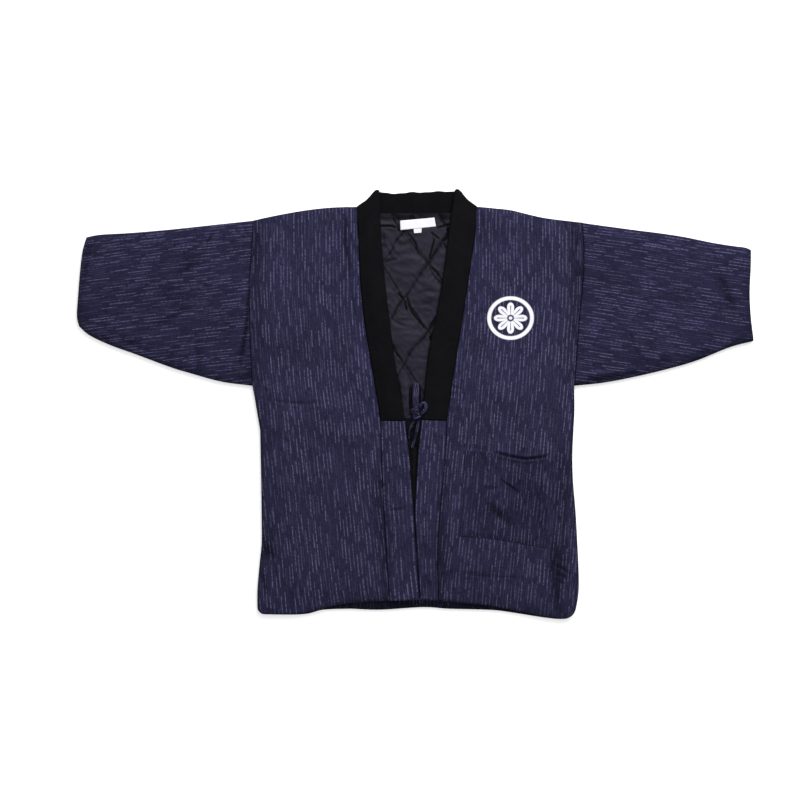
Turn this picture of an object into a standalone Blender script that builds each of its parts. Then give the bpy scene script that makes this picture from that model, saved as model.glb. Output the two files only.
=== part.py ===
"""A padded hanten that lies flat on its back, front side up.

Metres, +Z up. +X is the wearer's left, +Y runs from the hem to the neck, and the origin is the
middle of the footprint on the surface that the garment lies on. The tables are in millimetres.

The cloth is padded, so each panel is a thick wall. The back lies on the surface, the quilted
lining and the two fronts lie on the back, and the collar laps over the lining's edge. A sleeve
is one tube, pressed flat. Panels are patches between four outlines, their heights come from a
loft that swells away from the seams, and the largest folds are rows of short tables.
"""

import math
from typing import NamedTuple

import bmesh
import bpy
from mathutils import Vector

MM = 0.001

# Heights and walls, in millimetres
BACK_WALL = 7.0
LAY_GAP = 0.3
LAY = BACK_WALL + LAY_GAP
FRONT_EDGE_WALL = 5.0
FRONT_LOFT = 4.5
SLEEVE_UNDER_WALL = 5.2
SLEEVE_SLIT = 1.4
SLEEVE_EDGE_WALL = 5.4
SLEEVE_LOFT = 4.0
LINING_GROOVE_WALL = 1.6
LINING_PUFF = 2.9
LINING_TOP = LAY + LINING_GROOVE_WALL + LINING_PUFF
COLLAR_WALL = 7.0
COLLAR_SEAM_MID = LAY + 4.0
COLLAR_FREE_MID = LINING_TOP + 0.7 + COLLAR_WALL / 2
BAND_FREE_MID_AT_HEM = LAY + 4.4
POCKET_WALL = 2.6
POCKET_EDGE_WALL = 1.6
LABEL_HEIGHT = LINING_TOP + LAY_GAP
LABEL_WALL = 1.0

# Edges and seams, in millimetres
SEAM_GAP = 0.6
RIM = 3.0
RIM_SHARE = 0.45
SWELL_WIDTH = 20.0

# Quilting diamonds of the lining, in millimetres
DIAMOND_WIDTH = 88.0
DIAMOND_LENGTH = 128.0
DIAMOND_X = 24.0
DIAMOND_Y = 268.0

# Where the lower bands come down off the lining, in millimetres along Y
BAND_DROP_TOP = -240.0
BAND_DROP_BOTTOM = -290.0

# The ties are narrow sewn tubes of cloth, in millimetres, with heights over LINING_TOP
TIE_WIDTH = 6.2
KNOT_CENTRE = (3.4, -17.0, 5.4)
KNOT_RADII = (9.8, 11.8, 5.6)

# The pocket's edges, as shares of the front's width and of its height below the collar's end
POCKET_COLUMNS = (0.15, 0.785)
POCKET_ROWS = (0.37, 0.84)

# The folds of the collar at the neck: how many steps the cloth takes to turn over
FOLD_STEPS = 6


class Spot(NamedTuple):
    """A point of an outline."""

    x: float
    y: float


class Fold(NamedTuple):
    """A crease or ridge from one point to another; a negative rise is a trough."""

    x0: float
    y0: float
    x1: float
    y1: float
    width: float
    rise: float


class Bend(NamedTuple):
    """A point that the middle of a tie passes through, its height over the lining's top."""

    x: float
    y: float
    z: float


class Finish(NamedTuple):
    """Colour, roughness and metallic value of a material."""

    name: str
    colour: tuple
    roughness: float
    metallic: float = 0.0


STRIPED_COTTON = Finish("dashed_navy_cotton", (0.030, 0.028, 0.060), 0.9)
BLACK_COTTON = Finish("black_cotton", (0.008, 0.007, 0.009), 0.85)
QUILTED_LINING = Finish("charcoal_quilted_lining", (0.036, 0.034, 0.045), 0.6)
WHITE_LABEL = Finish("white_woven_label", (0.85, 0.85, 0.84), 0.7)

# Outlines, from the hem up or from the wearer's right to the left
SIDE_RIGHT_LOWER = [
    Spot(-302, -402), Spot(-302, -357), Spot(-298, -309), Spot(-294, -267),
    Spot(-294, -223), Spot(-295, -146), Spot(-297, -50),
]
SIDE_RIGHT_MIDDLE = [Spot(-297, -50), Spot(-303, -15), Spot(-308, 15), Spot(-312, 35)]
ARMHOLE_RIGHT = [
    Spot(-312, 35), Spot(-316, 123), Spot(-318, 208), Spot(-315, 277), Spot(-310, 353),
]
SIDE_LEFT_LOWER = [
    Spot(305, -407), Spot(312, -367), Spot(313, -328), Spot(310, -261),
    Spot(307, -207), Spot(302, -146), Spot(301, -98), Spot(303, -50),
]
SIDE_LEFT_MIDDLE = [Spot(303, -50), Spot(305, -11), Spot(307, 35)]
ARMHOLE_LEFT = [
    Spot(307, 35), Spot(310, 75), Spot(316, 158), Spot(324, 242), Spot(325, 300), Spot(322, 349),
]
SHOULDER_RIGHT = [
    Spot(-310, 353), Spot(-274, 361), Spot(-220, 371), Spot(-172, 377),
    Spot(-135, 379), Spot(-121, 378), Spot(-109.5, 371.5),
]
SHOULDER_LEFT = [
    Spot(118.5, 371.5), Spot(130, 378), Spot(158, 376), Spot(185, 373),
    Spot(222, 364), Spot(256, 357), Spot(322, 349),
]
NECK_SEAM = [
    Spot(-109.5, 371.5), Spot(-96, 364), Spot(-66, 357), Spot(-30, 355), Spot(5, 354),
    Spot(40, 355), Spot(76, 357), Spot(105, 364), Spot(118.5, 371.5),
]
NECK_FREE = [
    Spot(-67, 408), Spot(-45, 405), Spot(-20, 405), Spot(5, 405), Spot(30, 405),
    Spot(55, 406), Spot(77, 409),
]
HEM_BACK_RIGHT = [
    Spot(-302, -402), Spot(-239, -403), Spot(-205, -401), Spot(-176, -394), Spot(-124, -392),
]
HEM_BACK_MIDDLE = [Spot(-124, -392), Spot(-66, -394), Spot(16, -389), Spot(62, -392), Spot(104, -393)]
HEM_BACK_LEFT = [
    Spot(104, -393), Spot(156, -395), Spot(199, -401), Spot(250, -409), Spot(285, -412),
    Spot(305, -407),
]
HEM_FRONT_RIGHT = [
    Spot(-302, -402), Spot(-239, -402), Spot(-203, -399), Spot(-143, -386), Spot(-96, -383),
    Spot(-48, -381),
]
HEM_FRONT_LEFT = [
    Spot(46, -381), Spot(106, -386), Spot(143, -389), Spot(199, -397), Spot(250, -407),
    Spot(285, -411), Spot(305, -407),
]
SEAM_RIGHT_LOWER = [
    Spot(-48, -381), Spot(-49, -286), Spot(-55, -192), Spot(-61, -96), Spot(-65, -32),
]
SEAM_RIGHT_MIDDLE = [Spot(-65, -32), Spot(-72, 10), Spot(-78, 50)]
SEAM_RIGHT_UPPER = [
    Spot(-78, 50), Spot(-88, 104), Spot(-97, 165), Spot(-103, 219), Spot(-107, 296),
    Spot(-109.5, 345), Spot(-109.5, 371.5),
]
FREE_RIGHT_LOWER = [Spot(7, -379), Spot(4, -286), Spot(-4, -192), Spot(-11, -96), Spot(-18, -32)]
FREE_RIGHT_MIDDLE = [Spot(-18, -32), Spot(-25, 10), Spot(-32, 52)]
FREE_RIGHT_UPPER = [
    Spot(-32, 52), Spot(-41, 108), Spot(-48, 165), Spot(-55, 222), Spot(-62, 300),
    Spot(-65, 352), NECK_FREE[0],
]
SEAM_LEFT_LOWER = [
    Spot(46, -381), Spot(44, -286), Spot(50, -192), Spot(58.5, -105), Spot(61, -32),
]
SEAM_LEFT_MIDDLE = [Spot(61, -32), Spot(68, 10), Spot(74, 50)]
SEAM_LEFT_UPPER = [
    Spot(74, 50), Spot(82, 104), Spot(92, 165), Spot(101, 222), Spot(111, 290),
    Spot(117, 340), Spot(118.5, 371.5),
]
FREE_LEFT_LOWER = [Spot(9, -376), Spot(7, -286), Spot(3, -192), Spot(7.5, -105), Spot(14, -30)]
FREE_LEFT_MIDDLE = [Spot(14, -30), Spot(17, 10), Spot(21, 50)]
FREE_LEFT_UPPER = [
    Spot(21, 50), Spot(27, 104), Spot(40, 165), Spot(50.5, 222), Spot(60, 290),
    Spot(67, 345), NECK_FREE[-1],
]
SLEEVE_RIGHT_TOP = [
    Spot(-310, 353), Spot(-381, 344), Spot(-470, 334), Spot(-546, 329), Spot(-604, 326),
    Spot(-628, 321),
]
SLEEVE_RIGHT_CUFF = [
    Spot(-645, 149), Spot(-649, 169), Spot(-647, 204), Spot(-642, 254), Spot(-636, 292),
    Spot(-628, 321),
]
SLEEVE_RIGHT_UNDER = [
    Spot(-312, 35), Spot(-372, 44), Spot(-433, 62), Spot(-472, 73), Spot(-535, 96),
    Spot(-585, 113), Spot(-625, 133), Spot(-645, 149),
]
SLEEVE_LEFT_TOP = [
    Spot(322, 349), Spot(394, 338), Spot(467, 329), Spot(548, 313), Spot(613, 303), Spot(643, 296),
]
SLEEVE_LEFT_CUFF = [
    Spot(649, 121), Spot(643, 171), Spot(641, 217), Spot(643, 257), Spot(643, 296),
]
SLEEVE_LEFT_UNDER = [
    Spot(307, 35), Spot(364, 41), Spot(427, 53), Spot(490, 68), Spot(544, 84),
    Spot(606, 109), Spot(649, 121),
]
LINING_RIGHT = [
    Spot(-20, -228), Spot(-24, -150), Spot(-33, -60), Spot(-45, 10), Spot(-61, 108),
    Spot(-75, 222), Spot(-82, 300), Spot(-85, 367),
]
LINING_LEFT = [
    Spot(24, -228), Spot(26, -150), Spot(32, -60), Spot(37, 10), Spot(47, 104),
    Spot(70, 222), Spot(80, 290), Spot(88, 367),
]
LABEL_EDGES = ([Spot(-28, 352), Spot(38, 358)], [Spot(-27, 334), Spot(41, 341)])
TAB_EDGES = ([Spot(-2, 336.2), Spot(13.6, 337.8)], [Spot(-1, 328), Spot(13, 329)])

# The largest folds of each upper face
FRONT_RIGHT_FOLDS = [
    Fold(-305, 330, -309, 90, 16, -1.6),
    Fold(-122, 352, -118, 205, 12, -1.4),
    Fold(-262, 40, -150, 4, 22, 1.2),
    Fold(-240, -70, -120, -98, 26, -1.0),
    Fold(-286, -255, -262, -395, 16, -1.8),
    Fold(-222, -190, -214, -380, 34, 1.2),
    Fold(-130, -250, -112, -384, 28, -1.0),
]
FRONT_LEFT_FOLDS = [
    Fold(300, 340, 318, 150, 17, -2.2),
    Fold(301, 90, 296, -20, 16, -1.2),
    Fold(272, -255, 263, -402, 17, -2.4),
    Fold(292, -280, 290, -392, 18, 1.3),
    Fold(150, 40, 235, 20, 26, 1.0),
    Fold(120, -285, 205, -330, 26, -1.3),
    Fold(165, -150, 200, -176, 13, -1.3),
    Fold(152, -205, 184, -232, 13, -1.2),
]
SLEEVE_RIGHT_FOLDS = [
    Fold(-317, 190, -336, 66, 11, -2.4),
    Fold(-345, 205, -352, 80, 14, 1.4),
    Fold(-404, 276, -462, 236, 13, -2.4),
    Fold(-375, 300, -440, 262, 18, 1.3),
    Fold(-442, 206, -492, 192, 18, -1.8),
    Fold(-462, 166, -548, 138, 20, -2.0),
    Fold(-500, 300, -580, 286, 20, -1.6),
    Fold(-417, 128, -422, 62, 12, -1.8),
    Fold(-632, 312, -640, 246, 14, -1.4),
    Fold(-520, 250, -600, 226, 26, 1.4),
]
SLEEVE_LEFT_FOLDS = [
    Fold(560, 286, 612, 180, 17, -2.4),
    Fold(586, 276, 632, 190, 17, 1.5),
    Fold(392, 292, 448, 250, 22, -1.6),
    Fold(400, 210, 500, 178, 28, 1.4),
    Fold(440, 128, 520, 108, 20, -1.8),
    Fold(350, 78, 372, 46, 12, -1.6),
    Fold(390, 66, 470, 76, 14, -1.8),
    Fold(333, 300, 336, 120, 18, 1.2),
]

LOOP_UP = [
    Bend(-0.9, -4.5, 5.0), Bend(-1.8, 4, 3.6), Bend(-1.8, 18, 3.2), Bend(-1.6, 31, 3.0),
    Bend(0.6, 37.2, 3.0), Bend(3.4, 38.6, 3.2), Bend(6.0, 36.4, 3.0), Bend(7.4, 30, 3.0),
    Bend(7.2, 18, 3.2), Bend(7.0, 4, 3.6), Bend(7.2, -4.5, 5.0),
]
LOOP_SIDE = [
    Bend(11.8, -9.6, 8.4), Bend(14.8, -4, 10.6), Bend(16.6, 2.4, 11.6), Bend(19.6, 6.6, 11.6),
    Bend(23.6, 6.0, 11.6), Bend(25.6, 1.2, 11.6), Bend(25.2, -6, 11.6), Bend(21.6, -12.4, 11.6),
    Bend(13.2, -18.2, 10.4),
]
TAIL_RIGHT = [
    Bend(1.2, -29.6, 4.4), Bend(-2.6, -36, 2.8), Bend(-6.4, -45, 2.1), Bend(-8.2, -56, 2.0),
    Bend(-7.6, -66, 2.0), Bend(-6.0, -76, 2.0),
]
TAIL_LEFT = [
    Bend(7.6, -29.3, 4.4), Bend(8.2, -37, 3.0), Bend(6.8, -48, 2.8), Bend(4.0, -60, 2.8),
    Bend(1.6, -71, 2.8), Bend(0.0, -81, 2.8), Bend(-2.4, -90, 2.8),
]
TIE_RIGHT = [Bend(-18.4, -25.6, 4.2), Bend(-13.4, -24.4, 4.6), Bend(-6.8, -22.0, 5.2)]

PATH_STEPS = 16


def smooth_points(spots):
    """Points of a Catmull-Rom line through the spots, and the length up to each."""
    line = [Vector(spot) for spot in spots]
    padded = [2 * line[0] - line[1], *line, 2 * line[-1] - line[-2]]
    points = [line[0]]
    for before, start, end, after in zip(padded, padded[1:], padded[2:], padded[3:]):
        for step in range(1, PATH_STEPS + 1):
            t = step / PATH_STEPS
            points.append(
                0.5 * (
                    2 * start
                    + (end - before) * t
                    + (2 * before - 5 * start + 4 * end - after) * t**2
                    + (3 * start - before - 3 * end + after) * t**3
                )
            )
    lengths = [0.0]
    for start, end in zip(points, points[1:]):
        lengths.append(lengths[-1] + (end - start).length)
    return points, lengths


class Path:
    """A smooth line in one or more spans, which meet at whole numbers of its parameter."""

    def __init__(self, *spans):
        self.spans = [smooth_points(spots) for spots in spans]
        self.lengths = [lengths[-1] for _, lengths in self.spans]
        self.length = sum(self.lengths)

    def at(self, t):
        """The point at parameter t, measured by length within each span."""
        index = min(int(t), len(self.spans) - 1)
        points, lengths = self.spans[index]
        wanted = (t - index) * lengths[-1]
        for first in range(len(points) - 1):
            if lengths[first + 1] >= wanted or first == len(points) - 2:
                share = (wanted - lengths[first]) / (lengths[first + 1] - lengths[first])
                return points[first].lerp(points[first + 1], share)

    def share(self, t):
        """How much of the whole length lies before parameter t."""
        index = min(int(t), len(self.spans) - 1)
        return (sum(self.lengths[:index]) + (t - index) * self.lengths[index]) / self.length

    def stations(self, counts, marks=()):
        """Parameters with so many equal steps in each span, one at each rim, and the marks.

        A step that would lie close to a mark gives way to it."""
        found = {0.0, float(len(counts))}
        for index, count in enumerate(counts):
            steps = (index + step / count for step in range(1, count + 1))
            found.update(t for t in steps if all(abs(t - mark) > 0.6 / count for mark in marks))
        found.add(RIM / self.lengths[0])
        found.add(len(counts) - RIM / self.lengths[-1])
        return sorted({*found, *marks})


class Patch:
    """A flat region between four paths, drawn in by half a seam's gap."""

    def __init__(self, bottom, top, left, right):
        self.bottom, self.top, self.left, self.right = bottom, top, left, right
        self.columns = len(bottom.spans)
        self.rows = len(left.spans)

    def point(self, u, v):
        """The point in millimetres at column parameter u and row parameter v."""
        across = (self.bottom.share(u) + self.top.share(u)) / 2
        up = (self.left.share(v) + self.right.share(v)) / 2
        edges = (
            self.bottom.at(u) * (1 - up) + self.top.at(u) * up
            + self.left.at(v) * (1 - across) + self.right.at(v) * across
        )
        low = self.bottom.at(0) * (1 - across) + self.bottom.at(self.columns) * across
        high = self.top.at(0) * (1 - across) + self.top.at(self.columns) * across
        spot = edges - low * (1 - up) - high * up
        return spot + self.inset(spot, u, v)

    def inset(self, spot, u, v):
        """The small step inwards of a point on an outline."""
        step = Vector((0, 0))
        for far, near in (
            (self.right.at(v), u == 0), (self.left.at(v), u == self.columns),
            (self.top.at(u), v == 0), (self.bottom.at(u), v == self.rows),
        ):
            if near:
                step += (far - spot).normalized() * SEAM_GAP / 2
        return step

    def edge_distances(self, u, v):
        """How far a point lies from the left, right, bottom and top outlines."""
        spot = self.point(u, v)
        edges = (self.left.at(v), self.right.at(v), self.bottom.at(u), self.top.at(u))
        return [(spot - edge).length for edge in edges]


def smoothstep(low, high, value):
    """A soft step from 0 to 1 as a value passes from low to high."""
    t = min(max((value - low) / (high - low), 0.0), 1.0)
    return t * t * (3 - 2 * t)


def rounding(distance):
    """The share of a wall's thickness that is left at a distance from its rim."""
    return RIM_SHARE + (1 - RIM_SHARE) * min(distance / RIM, 1.0)


def swell(distance):
    """How far the padding has risen at a distance from a seam, from 0 to 1."""
    return 1 - math.exp(-((distance / SWELL_WIDTH) ** 2))


def relief(spot, folds):
    """The height that folds add at a point."""
    total = 0.0
    for fold in folds:
        start = Vector((fold.x0, fold.y0))
        line = Vector((fold.x1, fold.y1)) - start
        share = min(max((spot - start).dot(line) / line.length_squared, 0.0), 1.0)
        away = (spot - start - line * share).length
        fade = 1 - abs(2 * share - 1) ** 2.5
        total += fold.rise * fade * math.exp(-((away / fold.width) ** 2))
    return total


def quilting(spot):
    """The height of the lining's diamonds at a point, 0 along their stitched lines."""
    across = (spot.x - DIAMOND_X) / DIAMOND_WIDTH
    along = (spot.y - DIAMOND_Y) / DIAMOND_LENGTH
    puff = abs(math.sin(math.pi * (across + along)) * math.sin(math.pi * (across - along)))
    return LINING_PUFF * puff**0.6


def place(spot, height):
    """A point in metres over a flat spot in millimetres."""
    return Vector((spot.x, spot.y, height)) * MM


def dressed(name, mesh, finish):
    """An object of the mesh, with its finish, in the garment's collection."""
    material = bpy.data.materials.new(name + "_" + finish.name)
    material.use_nodes = True
    shader = material.node_tree.nodes["Principled BSDF"]
    shader.inputs["Base Color"].default_value = (*finish.colour, 1.0)
    shader.inputs["Roughness"].default_value = finish.roughness
    shader.inputs["Metallic"].default_value = finish.metallic
    mesh.materials.append(material)
    piece = bpy.data.objects.new(name, mesh)
    bpy.data.collections["hanten"].objects.link(piece)
    return piece


def finished_mesh(name, bm):
    """A smooth-shaded mesh of the bmesh, its faces pointing out."""
    bmesh.ops.recalc_face_normals(bm, faces=bm.faces)
    mesh = bpy.data.meshes.new(name)
    bm.to_mesh(mesh)
    bm.free()
    mesh.shade_smooth()
    return mesh


def closed_wall(name, finish, columns, rows, outer, inner, flat_inside=False):
    """A wall between an outer and an inner face, which are functions of column and row."""
    bm = bmesh.new()
    across, along = len(columns) - 1, len(rows) - 1
    bmesh.ops.create_grid(bm, x_segments=across, y_segments=along, size=0.5)
    faces = bmesh.ops.extrude_face_region(bm, geom=bm.faces[:])["geom"]
    raised = {vert for vert in faces if isinstance(vert, bmesh.types.BMVert)}
    for vert in bm.verts:
        column = columns[round((vert.co.x + 0.5) * across)]
        row = rows[round((vert.co.y + 0.5) * along)]
        vert.co = (outer if vert in raised else inner)(column, row)
    if flat_inside:
        join_flat_faces(bm)
    return dressed(name, finished_mesh(name, bm), finish)


def join_flat_faces(bm):
    """Joins the faces of a flat underside into one."""
    bm.normal_update()
    lowest = min(vert.co.z for vert in bm.verts)
    level = {vert for vert in bm.verts if abs(vert.co.z - lowest) < 1e-7}
    faces = [face for face in bm.faces if all(vert in level for vert in face.verts)]
    inner_edges = [
        edge for edge in bm.edges
        if len(edge.link_faces) == 2 and all(face in faces for face in edge.link_faces)
    ]
    bmesh.ops.dissolve_edges(bm, edges=inner_edges, use_verts=True)


def rolled_tube(name, finish, ring, profile, position):
    """A tube's wall, rolled from one grid that closes around the tube and through its wall."""
    bm = bmesh.new()
    around, through = len(ring), len(profile)
    bmesh.ops.create_grid(bm, x_segments=around, y_segments=through, size=0.5)
    for vert in bm.verts:
        turn = round((vert.co.x + 0.5) * around) % around
        step = round((vert.co.y + 0.5) * through) % through
        vert.co = position(*ring[turn], *profile[step])
    bmesh.ops.remove_doubles(bm, verts=bm.verts, dist=1e-6)
    return dressed(name, finished_mesh(name, bm), finish)


def tie(name, bends):
    """A stretch of tie: a round tube through its bends."""
    points = [place(bend, LINING_TOP + bend.z) for bend in bends]
    curve = bpy.data.curves.new(name, "CURVE")
    curve.dimensions = "3D"
    curve.bevel_depth = TIE_WIDTH / 2 * MM
    curve.bevel_resolution = 2
    curve.use_fill_caps = True
    spline = curve.splines.new("POLY")
    spline.points.add(len(points) - 1)
    for control, point in zip(spline.points, points):
        control.co = (*point, 1.0)
    return dressed(name, curve, STRIPED_COTTON)


def back_patch():
    """The back's outline: hem, shoulders with the neck between them, and sides."""
    return Patch(
        Path(HEM_BACK_RIGHT, HEM_BACK_MIDDLE, HEM_BACK_LEFT),
        Path(SHOULDER_RIGHT, NECK_SEAM, SHOULDER_LEFT),
        Path(SIDE_RIGHT_LOWER, SIDE_RIGHT_MIDDLE, ARMHOLE_RIGHT),
        Path(SIDE_LEFT_LOWER, SIDE_LEFT_MIDDLE, ARMHOLE_LEFT),
    )


def front_right_patch():
    """The wearer's right front, from the side seam to the collar."""
    return Patch(
        Path(HEM_FRONT_RIGHT),
        Path(SHOULDER_RIGHT),
        Path(SIDE_RIGHT_LOWER, SIDE_RIGHT_MIDDLE, ARMHOLE_RIGHT),
        Path(SEAM_RIGHT_LOWER, SEAM_RIGHT_MIDDLE, SEAM_RIGHT_UPPER),
    )


def front_left_patch():
    """The wearer's left front, from the collar to the side seam."""
    return Patch(
        Path(HEM_FRONT_LEFT),
        Path(SHOULDER_LEFT),
        Path(SEAM_LEFT_LOWER, SEAM_LEFT_MIDDLE, SEAM_LEFT_UPPER),
        Path(SIDE_LEFT_LOWER, SIDE_LEFT_MIDDLE, ARMHOLE_LEFT),
    )


def make_back():
    """The back, flat on the surface that carries the garment."""
    patch = back_patch()
    middle = BACK_WALL / 2

    def face(side):
        def at(u, v):
            half = middle * rounding(min(patch.edge_distances(u, v)))
            return place(patch.point(u, v), middle + side * half)
        return at

    columns = patch.bottom.stations((5, 8, 5))
    rows = patch.left.stations((8, 2, 6))
    closed_wall("back", STRIPED_COTTON, columns, rows, face(1), face(-1), flat_inside=True)


def front_top(patch, folds, u, v):
    """The height of a front's upper face."""
    near = min(patch.edge_distances(u, v))
    wall = FRONT_EDGE_WALL + FRONT_LOFT * swell(near)
    wall += relief(patch.point(u, v), folds) * min(near / SWELL_WIDTH, 1.0)
    return LAY + wall


def make_front(name, patch, folds, columns, rows):
    """A front that lies on the back, thick in the middle and thin at its seams."""

    def outer(u, v):
        near = min(patch.edge_distances(u, v))
        rise = front_top(patch, folds, u, v) - LAY
        return place(patch.point(u, v), LAY + rise * (1 + rounding(near)) / 2)

    def inner(u, v):
        near = min(patch.edge_distances(u, v))
        rise = front_top(patch, folds, u, v) - LAY
        return place(patch.point(u, v), LAY + rise * (1 - rounding(near)) / 2)

    closed_wall(name, STRIPED_COTTON, columns, rows, outer, inner, flat_inside=True)


def make_pocket(patch, folds, columns, rows):
    """The patch pocket, from the points of the front under it, moved out."""
    last_column, last_row = columns[-1], rows[-1]

    def at(u, v, share):
        edge = u in (columns[0], last_column) or v in (rows[0], last_row)
        wall = POCKET_EDGE_WALL if edge else POCKET_WALL
        height = front_top(patch, folds, u, v) + LAY_GAP + wall * share
        return place(patch.point(u, v), height)

    closed_wall(
        "pocket_left", STRIPED_COTTON, columns, rows,
        lambda u, v: at(u, v, 1.0), lambda u, v: at(u, v, 0.0),
    )


def make_sleeve(name, patch, folds, across, along):
    """A sleeve: one tube pressed flat, open at the armhole and at the cuff."""
    columns = patch.left.stations((across,))
    rows = patch.bottom.stations((along,))
    slit_middle = SLEEVE_UNDER_WALL + SLEEVE_SLIT / 2
    ring = [(v, 1) for v in columns[1:-1]] + [(columns[-1], 0)]
    ring += [(v, -1) for v in reversed(columns[1:-1])] + [(columns[0], 0)]
    profile = [(rows[0], 0)] + [(u, 1) for u in rows[1:-1]] + [(rows[-1], 0)]
    profile += [(u, -1) for u in reversed(rows[1:-1])]

    def position(v, layer, u, face):
        spot = patch.point(u, v)
        _, _, under, top = patch.edge_distances(u, v)
        near = min(under, top)
        upper = SLEEVE_EDGE_WALL + SLEEVE_LOFT * swell(near)
        upper += relief(spot, folds) * min(near / SWELL_WIDTH, 1.0)
        outside = {1: SLEEVE_SLIT / 2 + upper, 0: 0.0, -1: -slit_middle}[layer]
        outer = place(spot, slit_middle + outside)
        inward = (patch.top.at(u) - patch.bottom.at(u)).normalized()
        shift = SLEEVE_UNDER_WALL * (math.exp(-under / 20) - math.exp(-top / 20))
        inner = place(spot + inward * shift, slit_middle + layer * SLEEVE_SLIT / 2)
        share = {1: 1.0, 0: 0.5, -1: 0.0}[face]
        return inner.lerp(outer, share)

    rolled_tube(name, STRIPED_COTTON, ring, profile, position)


def collar_middle(t):
    """The height of the middle of the collar's wall, from its seam to its free edge."""
    return COLLAR_SEAM_MID + (COLLAR_FREE_MID - COLLAR_SEAM_MID) * smoothstep(0.0, 0.5, t)


def wall_half(t, width):
    """Half the collar's wall at a share of its width."""
    return COLLAR_WALL / 2 * rounding(min(t, 1 - t) * width)


def collar_rows():
    """The collar's rows: seam point, free point and how far the cloth has turned over."""
    neck_seam, neck_free = Path(NECK_SEAM), Path(NECK_FREE)
    right = Path(SEAM_RIGHT_MIDDLE, SEAM_RIGHT_UPPER), Path(FREE_RIGHT_MIDDLE, FREE_RIGHT_UPPER)
    left = Path(SEAM_LEFT_MIDDLE, SEAM_LEFT_UPPER), Path(FREE_LEFT_MIDDLE, FREE_LEFT_UPPER)
    front = [0.0, RIM / right[0].lengths[0], 0.5, 1.0]
    front += [1 + step / 9 for step in range(1, 10)]
    turns = [math.pi * step / FOLD_STEPS for step in range(1, FOLD_STEPS)]
    rows = [(right[0].at(v), right[1].at(v), 0.0, v == 0) for v in front]
    rows += [(neck_seam.at(0), neck_free.at(0), turn, False) for turn in turns]
    rows += [(neck_seam.at(s / 8), neck_free.at(s / 8), math.pi, False) for s in range(9)]
    rows += [(neck_seam.at(1), neck_free.at(1), turn, False) for turn in reversed(turns)]
    rows += [(left[0].at(v), left[1].at(v), 0.0, v == 0) for v in reversed(front)]
    return rows


def make_collar():
    """The black collar: up one front, folded over behind the neck, and down the other."""
    rows = collar_rows()
    shares = [0.0, 0.07, 0.25, 0.5, 0.75, 0.93, 1.0]

    def face(side):
        def at(t, index):
            seam, free, turn, is_end = rows[int(index)]
            line = free - seam
            width = line.length
            t_in = t + SEAM_GAP / 2 / width * (1 - 2 * t)
            spot = seam + line * t_in
            outward = Vector((-line.y, line.x)).normalized()
            if outward.y < 0:
                outward = -outward
            radius = (collar_middle(t) - BACK_WALL / 2) / 2
            centre = BACK_WALL / 2 + radius
            half = wall_half(t, width) * (RIM_SHARE if is_end else 1.0) * side
            reach = (radius + half) * math.sin(turn)
            height = centre + (radius + half) * math.cos(turn)
            lengthwise = -SEAM_GAP / 2 if is_end else 0.0
            return place(spot + outward * reach - Vector((0, lengthwise)), height)
        return at

    stations = [float(index) for index in range(len(rows))]
    closed_wall("collar", BLACK_COTTON, shares, stations, face(1), face(-1))


def make_band(name, seam, free):
    """A lower band, in the garment's cloth, from the collar's end to the hem."""
    columns = [0.0, 0.07, 0.25, 0.5, 0.75, 0.93, 1.0]
    rows = seam.stations((12,))

    def face(side):
        def at(t, v):
            start, end = seam.at(v), free.at(v)
            width = (end - start).length
            spot = start.lerp(end, t + SEAM_GAP / 2 / width * (1 - 2 * t))
            if v in (0.0, 1.0):
                spot = spot + Vector((0, SEAM_GAP / 2 * (1 - 2 * v)))
            on_lining = smoothstep(BAND_DROP_BOTTOM, BAND_DROP_TOP, spot.y)
            flat = COLLAR_SEAM_MID + (BAND_FREE_MID_AT_HEM - COLLAR_SEAM_MID) * t
            middle = flat + (collar_middle(t) - flat) * on_lining
            half = wall_half(t, width) * rounding(min(v, 1 - v) * seam.length)
            return place(spot, middle + side * half)
        return at

    closed_wall(name, STRIPED_COTTON, columns, rows, face(1), face(-1))


def ruled_patch(left, right):
    """A patch between two edges, straight from one to the other."""
    bottom, top = Path([left[0], right[0]]), Path([left[-1], right[-1]])
    return Patch(bottom, top, Path(left), Path(right))


def make_lining():
    """The quilted lining where it shows, raised in diamonds over a plain underside."""
    patch = ruled_patch(LINING_RIGHT, LINING_LEFT)

    def outer(u, v):
        near = min(patch.edge_distances(u, v))
        wall = LINING_GROOVE_WALL + quilting(patch.point(u, v)) * min(near / SWELL_WIDTH, 1.0)
        return place(patch.point(u, v), LAY + wall)

    def inner(u, v):
        return place(patch.point(u, v), LAY)

    columns = [step / 15 for step in range(16)]
    rows = [step / 44 for step in range(45)]
    closed_wall("lining", QUILTED_LINING, columns, rows, outer, inner, flat_inside=True)


def make_label(name, edges):
    """A small woven label that lies over the lining's diamonds."""
    upper, lower = edges
    start, end = Path(lower), Path(upper)

    def face(height):
        return lambda u, v: place(start.at(u).lerp(end.at(u), v), height)

    closed_wall(
        name, WHITE_LABEL, [0.0, 0.5, 1.0], [0.0, 0.5, 1.0],
        face(LABEL_HEIGHT + LABEL_WALL), face(LABEL_HEIGHT),
    )


def make_knot():
    """The knot where the two ties meet."""
    bm = bmesh.new()
    bmesh.ops.create_uvsphere(bm, u_segments=14, v_segments=8, radius=1.0)
    bmesh.ops.scale(bm, vec=Vector(KNOT_RADII) * MM, verts=bm.verts)
    centre = Bend(*KNOT_CENTRE)
    bmesh.ops.translate(bm, vec=place(centre, LINING_TOP + centre.z), verts=bm.verts)
    dressed("tie_knot", finished_mesh("tie_knot", bm), STRIPED_COTTON)


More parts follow.
